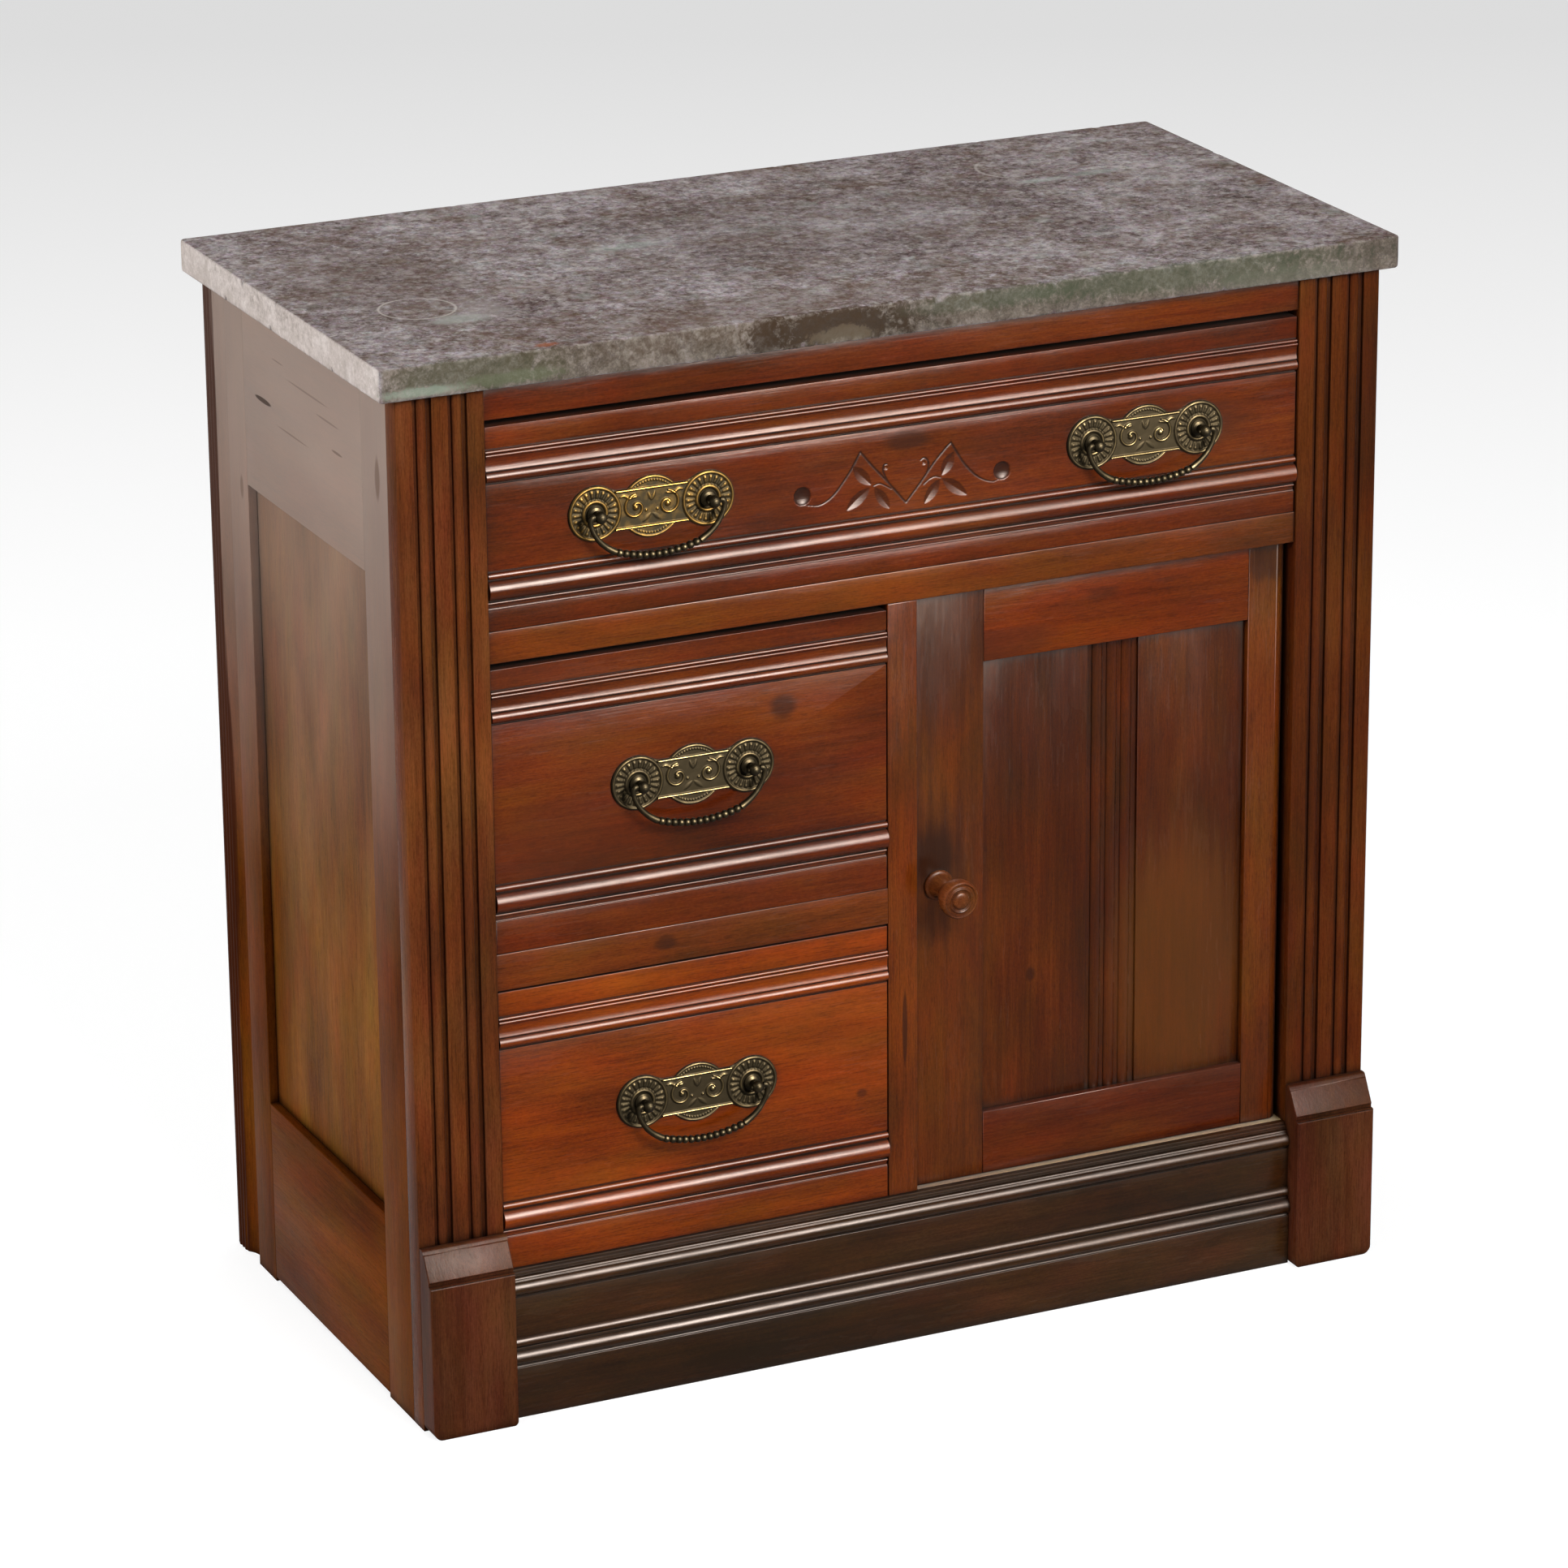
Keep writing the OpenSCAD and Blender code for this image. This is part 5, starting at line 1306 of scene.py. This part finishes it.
@dataclass(frozen=True)
class PullPlate:
    """The stamped back plate of a pull: two rosettes, a scrolled middle and two lobes.

    Lengths are in millimetres from the plate's centre. Each ring of a rosette holds its
    radius and half width.
    """

    post: float = 41.25
    rosette_r: float = 19.3
    rim: tuple[float, float] = (17.9, 1.35)
    petal: tuple[float, float] = (13.0, 3.9)
    petal_tip: tuple[float, float] = (14.9, 1.3)
    inner_ring: tuple[float, float] = (8.3, 1.5)
    groove: tuple[float, float] = (10.4, 0.6)
    eye_r: float = 7.0
    petals: int = 22
    mid_w: float = 34.0
    mid_h: float = 14.0
    lobe_w: float = 17.0
    lobe_h: float = 7.6
    web: float = 3.0
    base: float = 0.8
    base_rub: float = 0.16
    wall_rub: float = 0.3
    step: float = 0.4
    volute: tuple[float, float] = (11.6, 0.6)
    tail: tuple[Place, ...] = ((11, 8.2, 0.8), (16, 7.6, 1.3), (20, 9.6, 1.4), (23, 9.0, 0.6))
    lobe_bead_gap: float = 2.1

    @property
    def lobe_r(self) -> float:
        """The radius of the arc that bounds a lobe."""
        return (self.lobe_w**2 + self.lobe_h**2) / (2 * self.lobe_h)

    def outline(self, x: np.ndarray, z: np.ndarray) -> np.ndarray:
        """Gives the distance outside the plate's edge, negative inside it."""
        disc = np.hypot(np.abs(x) - self.post, z) - self.rosette_r
        qx, qz = np.abs(x) - self.mid_w, np.abs(z) - self.mid_h
        bar = np.hypot(np.maximum(qx, 0), np.maximum(qz, 0)) + np.minimum(np.maximum(qx, qz), 0)
        # A round web joins each rosette to the middle
        mix = np.clip(0.5 + 0.5 * (bar - disc) / self.web, 0, 1)
        both = bar * (1 - mix) + disc * mix - self.web * mix * (1 - mix)
        r = self.lobe_r
        lobe = np.hypot(x, np.abs(z) - (self.mid_h + self.lobe_h - r)) - r
        lobe = np.maximum(lobe, self.mid_h - 4 - np.abs(z))
        return np.minimum(both, lobe)

    def relief(self, x: np.ndarray, z: np.ndarray) -> tuple[np.ndarray, np.ndarray]:
        """Gives the height above the plate's back and how rubbed each point is."""
        high = self.base + 0.25 * np.clip(-self.outline(x, z), 0, 1)
        rub = np.full_like(x, self.base_rub)
        for rise, wear in (self._middle(x, z), self._lobes(x, z)):
            high += rise
            rub += wear
        in_disc = np.hypot(np.abs(x) - self.post, z) < self.rosette_r + 0.3
        disc, disc_rub = self._rosettes(x, z)
        high, rub = np.where(in_disc, disc, high), np.where(in_disc, disc_rub, rub)
        return high, np.clip(rub, 0, 1)

    def _rosettes(self, x: np.ndarray, z: np.ndarray) -> tuple[np.ndarray, np.ndarray]:
        """Gives height and rub of the rosettes: rim, wedge petals, ring and dished eye."""
        r = np.hypot(np.abs(x) - self.post, z)
        angle = np.arctan2(z, np.abs(x) - self.post)
        rings = (self.rim, self.petal, self.petal_tip, self.inner_ring, self.groove)
        rim, petal, tip, ring, groove = (ridge(r - radius, half) for radius, half in rings)
        tooth = 0.5 + 0.5 * np.cos(angle * self.petals)
        petal = petal * np.clip((tooth - 0.22) * 2.2, 0, 1)
        tip = tip * np.clip((tooth - 0.4) * 2, 0, 1)
        eye = ridge(r, self.eye_r)
        high = 1.0 + 1.15 * rim + 0.75 * petal + 0.3 * tip + 1.2 * ring - 0.25 * groove
        high -= 0.35 * np.sqrt(eye)
        rub = 0.12 + 0.4 * rim + 0.3 * tip + 0.1 * petal + 0.4 * ring - 0.2 * (eye > 0)
        return high, rub

    def _middle(self, x: np.ndarray, z: np.ndarray) -> tuple[np.ndarray, np.ndarray]:
        """Gives height and rub of two raised bars, scrolls, a bud and small balls."""
        side = np.abs(x)
        bar = ridge(np.abs(z) - (self.mid_h - 0.9), 0.95) * (side < self.mid_w)
        inside = np.abs(z) < self.mid_h - 1.6
        px, pz = side - self.volute[0], z - self.volute[1]
        pr, pa = np.hypot(px, pz), np.arctan2(pz, -px)
        turns = np.full_like(x, 9.0)
        for lap in range(3):
            curl = 7.6 - 1.02 * (pa + math.tau * lap - math.pi)
            ok = (curl < 9.2) & (curl > 1.8)
            turns = np.where(ok, np.minimum(turns, np.abs(pr - curl)), turns)
        scroll = ridge(turns, 1.05) * inside
        ball = ridge(pr, 2.3) * inside
        tail = np.clip(stroke(side, z, smooth_path(self.tail, 6)), 0, 1) * inside
        bead = ridge(np.hypot(side - 4.1, z + 2.2), 1.15) * inside
        bud = leaf(side, z, (0.0, 4.0), (2.6, 10.6), 2.6) * inside
        vein = leaf(side, z, (0.4, -4.6), (7.0, -10.2), 3.0) * inside
        high = 1.3 * bar + 1.25 * scroll + 1.5 * ball + 0.9 * tail
        high += 0.9 * bead + 0.7 * np.sqrt(bud) + 0.45 * np.sqrt(vein)
        rub = 0.74 * bar + 0.6 * scroll + 0.64 * ball + 0.55 * tail + 0.5 * bead + 0.4 * bud
        return high, rub

    def _lobes(self, x: np.ndarray, z: np.ndarray) -> tuple[np.ndarray, np.ndarray]:
        """Gives height and rub of each lobe's rim and the row of beads under it."""
        r, gap = self.lobe_r, self.lobe_bead_gap
        top = self.mid_h + self.lobe_h - r
        lr = np.hypot(x, np.abs(z) - top)
        la = np.arctan2(x, np.abs(z) - top)
        inside = np.abs(z) > self.mid_h
        lip = ridge(lr - (r - 1.0), 1.0) * inside
        spaced = (la * (r - 3.5) / gap + 0.5) % 1.0 - 0.5
        dots = ridge(np.hypot(spaced * gap, lr - (r - 3.3)), 0.95) * inside
        return 0.7 * lip + 0.8 * dots, 0.4 * lip + 0.42 * dots

    def mesh(self) -> bpy.types.Mesh:
        """Builds the plate's mesh about its centre, with its back at y = 0.

        Returns:
            The mesh, with a "rubbed" attribute.
        """
        reaches = (self.post + self.rosette_r + 1, self.mid_h + self.lobe_h + 1)
        cells = [math.ceil(reach / self.step) for reach in reaches]
        x, z = np.meshgrid(*(np.arange(-count, count + 1) * self.step for count in cells))
        far, e = self.outline(x, z), 0.05
        gx = (self.outline(x + e, z) - self.outline(x - e, z)) / (2 * e)
        gz = (self.outline(x, z + e) - self.outline(x, z - e)) / (2 * e)
        # Points close to the edge move onto it
        close = 0.6 * self.step
        snap, kept = np.abs(far) < close, far < close
        x, z = np.where(snap, x - far * gx, x), np.where(snap, z - far * gz, z)
        high, rub = self.relief(x, z)
        number = np.cumsum(kept.ravel()).reshape(kept.shape) - 1
        points = np.stack([x[kept], -high[kept], z[kept]], -1) * MM
        faces = []
        for i in range(kept.shape[0] - 1):
            for j in range(kept.shape[1] - 1):
                around = ((i, j), (i, j + 1), (i + 1, j + 1), (i + 1, j))
                real = [int(number[q]) for q in around if kept[q]]
                if len(real) >= 3:
                    faces.append(tuple(real))
        # Sides that belong to one face only bound the plate, and a wall goes back from them
        sides: dict[tuple[int, int], bool] = {}
        for face in faces:
            for a, b in zip(face, face[1:] + face[:1]):
                if not sides.pop((b, a), False):
                    sides[(a, b)] = True
        back: dict[int, int] = {}
        extra = []
        for q in (corner for side in sides for corner in side):
            if q not in back:
                back[q] = len(points) + len(extra)
                extra.append((points[q][0], 0.0, points[q][2]))
        faces += [(b, a, back[a], back[b]) for a, b in sides]
        mesh = mesh_from("pull_plate_mesh", list(map(tuple, points)) + extra, faces, 60)
        paint(mesh, "rubbed", list(rub[kept]) + [self.wall_rub] * len(extra))
        return mesh


@dataclass(frozen=True)
class BailHandle:
    """The drop handle: thin tapered arms and a row of round beads along the bottom.

    Lengths are in millimetres from the pull's centre, on the posts' axis. An arm's path
    holds places across and upward with the radius there, a pin's only across.
    """

    bead_r: float = 2.8
    neck_r: float = 1.45
    beads: int = 13
    bead_steps: int = 8
    sides: int = 14
    # The beaded bottom reaches this far to each side and rises by the sag at its ends
    span: float = 30.4
    lowest: float = -30.4
    sag: float = 5.0
    pin_path: tuple[tuple[float, float], ...] = (
        (46.6, 0.9), (46.2, 1.45), (36.4, 1.45), (35.9, 0.9),
    )
    arm_path: tuple[Place, ...] = (
        (45.6, 1.0, 1.8), (47.6, 0.6, 2.2), (48.9, -1.6, 2.0), (48.4, -5.0, 1.75),
        (46.6, -10.0, 1.75), (43.0, -15.6, 1.9), (38.2, -20.4, 2.1), (33.0, -24.0, 2.4),
        (30.4, -25.4, 2.5),
    )

    def mesh(self) -> bpy.types.Mesh:
        """Builds the handle's mesh about the middle of the posts' axis."""
        arm = smooth_path(self.arm_path, 4)
        bottom = []
        each, count = self.bead_steps, self.beads * self.bead_steps
        for k in range(count + 1):
            x = self.span * (2 * k / count - 1)
            z = self.lowest + self.sag * (x / self.span) ** 2
            wave = abs(math.sin(math.pi * (k % each) / each)) ** 0.55
            bottom.append((x, z, self.neck_r + (self.bead_r - self.neck_r) * wave))
        left = [(-x, z, r) for x, z, r in arm]
        right = [(x, z, r) for x, z, r in arm[::-1]]
        points, faces = self._tube(np.array(left[:-1] + bottom + right[1:]))
        for sign in (-1, 1):
            more, sheets = self._tube(np.array([(sign * x, 0.0, r) for x, r in self.pin_path]))
            faces += [tuple(i + len(points) for i in f) for f in sheets]
            points += more
        return mesh_from("bail_mesh", [[v * MM for v in p] for p in points], faces, 50)

    def _tube(self, path: np.ndarray) -> tuple[list, list]:
        """Sweeps a round section along a path in the upright plane.

        Args:
            path: Rows of across, upward and radius.

        Returns:
            Points and faces of the closed tube.
        """
        way = np.gradient(path[:, :2], axis=0)
        way /= np.linalg.norm(way, axis=1)[:, None]
        points, faces = [], []
        n = self.sides
        for (x, z, r), (dx, dz) in zip(path, way):
            for k in range(n):
                a = math.tau * k / n
                out = r * math.cos(a)
                points.append((x - dz * out, r * math.sin(a), z + dx * out))
        for i in range(len(path) - 1):
            for k in range(n):
                a, b = i * n + k, i * n + (k + 1) % n
                faces.append((a, b, b + n, a + n))
        faces.append(tuple(range(n))[::-1])
        faces.append(tuple((len(path) - 1) * n + k for k in range(n)))
        return points, faces


@dataclass
class DrawerPulls:
    """All four pulls: plates, posts and bails, each with its own tarnish."""

    pulls: tuple[tuple[str, str, str, str], ...] = (
        ("left", "long_drawer", "left_bail", "long_drawer_pull_plates"),
        ("right", "long_drawer", "right_bail", "long_drawer_pull_plates"),
        ("middle", "middle_drawer", "middle_bail", "middle_drawer_pull_plate"),
        ("lower", "lower_drawer", "lower_bail", "lower_drawer_pull_plate"),
    )
    golden: AntiqueBrass = AntiqueBrass("golden_brass", "#2E220F", "#523B19")
    dark: AntiqueBrass = AntiqueBrass("dark_brass", "#1B160E", "#433823")
    cast: AntiqueBrass = AntiqueBrass("cast_brass", "#17130C", "#3E3423", roughness=0.36)
    cast_rub: float = 0.42
    plate: PullPlate = field(default_factory=PullPlate)
    handle: BailHandle = field(default_factory=BailHandle)

    def build(self) -> None:
        """Builds the plates and bails and dresses the posts and pivots."""
        finishes = {name: self.dark.dress() for name in ("right", "middle", "lower")}
        finishes["left"] = self.golden.dress()
        cast = self.cast.dress(self.cast_rub)
        plate, bail = self.plate.mesh(), self.handle.mesh()
        bail.materials.append(cast)
        for name, drawer, bail_node, plate_node in self.pulls:
            low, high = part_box(bail_node)
            plate_low, plate_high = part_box(plate_node)
            across, up = (low.x + high.x) / 2, (plate_low.z + plate_high.z) / 2
            own = plate.copy()
            own.materials.append(finishes[name])
            new_piece(f"{name}_pull_plate", own, drawer, "old_brass", plate_node,
                      (across, plate_high.y, up))
            new_piece(f"{name}_pull_bail", bail, bail_node, "old_brass", bail_node,
                      (across, (low.y + high.y) / 2, up))
            log.info("pull: %s", name)
        for name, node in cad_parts.items():
            if name.endswith("pull_posts") or "pivot" in name:
                node.data.materials.clear()
                node.data.materials.append(cast)


# --------------------------------------------------------------------------- studio


@dataclass(frozen=True)
class Studio:
    """A pale sweep of floor, soft lamps and the camera at the photograph's angle."""

    camera_place: Place = (-1.8689, -4.0035, 1.9269)
    yaw: float = 24.88
    pitch: float = 19.52
    roll: float = -0.48
    lens: float = 150.8
    lamp_aim: Place = (0.0, 0.0, 0.42)
    floor_size: float = 30.0
    # How far past the object, away from the camera, the floor's tones start and end
    floor_fade: tuple[float, float] = (-0.6, 3.9)
    floor_tones: tuple[tuple[float, str], ...] = (
        (0.0, "#FFFFFF"), (0.45, "#FFFFFF"), (1.0, "#E6E6E6"),
    )
    floor_glow: float = 0.78

    def build(self) -> None:
        """Builds the floor, the lamps, the world and the camera."""
        self._camera()
        self._floor()
        self._lamps()
        self._world()

    def _camera(self) -> None:
        """Places the camera where the photograph's perspective puts it."""
        data = bpy.data.cameras.new("camera")
        data.lens = self.lens
        data.sensor_width = 36.0
        data.clip_end = 60.0
        camera = bpy.data.objects.new("camera", data)
        bpy.context.scene.collection.objects.link(camera)
        turn = (
            Matrix.Rotation(math.radians(-self.yaw), 4, "Z")
            @ Matrix.Rotation(math.radians(90 - self.pitch), 4, "X")
            @ Matrix.Rotation(math.radians(self.roll), 4, "Z")
        )
        camera.matrix_world = Matrix.Translation(self.camera_place) @ turn
        bpy.context.scene.camera = camera

    def _floor(self) -> None:
        """Lays the floor, white below the object and pale grey far behind it."""
        size = self.floor_size
        corners = [(-size, -size, 0), (size, -size, 0), (size, size, 0), (-size, size, 0)]
        mesh = mesh_from("floor_mesh", corners, [(0, 1, 2, 3)])
        floor = bpy.data.objects.new("floor", mesh)
        bpy.context.scene.collection.objects.link(floor)
        material, tree = new_material("pale_floor")
        place = add(tree, "TexCoord").outputs["Object"]
        yaw = math.radians(self.yaw)
        away = (math.sin(yaw), math.cos(yaw), 0)
        far = add(tree, "VectorMath", place, away, operation="DOT_PRODUCT")
        level = add(tree, "MapRange", far, *self.floor_fade)
        tone = add(tree, "ValToRGB", level, stops=self.floor_tones)
        rays = add(tree, "LightPath").outputs
        seen = add(tree, "Math", rays["Is Camera Ray"], rays["Is Glossy Ray"], operation="MAXIMUM")
        seen = add(tree, "Math", seen, rays["Is Transmission Ray"], operation="MAXIMUM")
        matt = add(tree, "BsdfDiffuse", linear("#E4E4E4"))
        shaded = add(tree, "BsdfDiffuse", linear("#A0A0A0"))
        glow = add(tree, "Emission", tone, self.floor_glow)
        both = add(tree, "AddShader", shaded, glow)
        mix = add(tree, "MixShader", seen, matt, both)
        add(tree, "OutputMaterial", mix)
        mesh.materials.append(material)

    def _lamp(
        self,
        name: str,
        place: Place,
        size: tuple[float, float],
        watts: float,
        lights: bool = True,
        shines: bool = True,
    ) -> None:
        """Hangs one soft rectangular lamp that faces the object.

        Args:
            name: The lamp's name.
            place: Its centre.
            size: Its width and height in metres.
            watts: Its power.
            lights: Whether it lights matt surfaces.
            shines: Whether it shows in gloss.
        """
        data = bpy.data.lights.new(name, "AREA")
        data.shape = "RECTANGLE"
        data.size, data.size_y = size
        data.energy = watts
        lamp = bpy.data.objects.new(name, data)
        bpy.context.scene.collection.objects.link(lamp)
        lamp.location = place
        aim = Vector(self.lamp_aim) - Vector(place)
        lamp.rotation_euler = aim.to_track_quat("-Z", "Y").to_euler()
        lamp.visible_diffuse = lights
        lamp.visible_glossy = shines

    def _lamps(self) -> None:
        """Hangs the lamps; the window and the room beside it only show in gloss."""
        self._lamp("key", (0.1, -2.6, 2.35), (1.3, 1.0), 70, shines=False)
        self._lamp("side_fill", (-3.3, -0.7, 1.9), (1.6, 1.6), 60)
        self._lamp("top", (0.0, 0.9, 3.0), (2.4, 1.2), 28)
        self._lamp("window", (0.7, -2.5, 1.7), (0.6, 1.5), 1200, lights=False)
        self._lamp("room_glow", (1.25, -2.5, 1.4), (1.5, 0.9), 130, lights=False)

    def _world(self) -> None:
        """Fills the room with a plain soft grey."""
        world = bpy.data.worlds.new("room")
        bpy.context.scene.world = world
        world.use_nodes = True
        tree = world.node_tree
        tree.nodes.clear()
        room = add(tree, "Background", linear("#E8E8E8"), 0.22)
        add(tree, "OutputWorld", room)


def main() -> None:
    """Builds the studio and every piece."""
    logging.basicConfig(level=logging.INFO, format="%(name)s: %(message)s")
    bpy.context.scene.view_settings.view_transform = "Standard"
    Studio().build()
    log.info("slab: %s", MarbleSlab().build().name)
    for number, board in enumerate(case_boards()):
        log.info("board: %s", board.build(number).name)
    DrawerPulls().build()


if __name__ == "__main__":
    main()
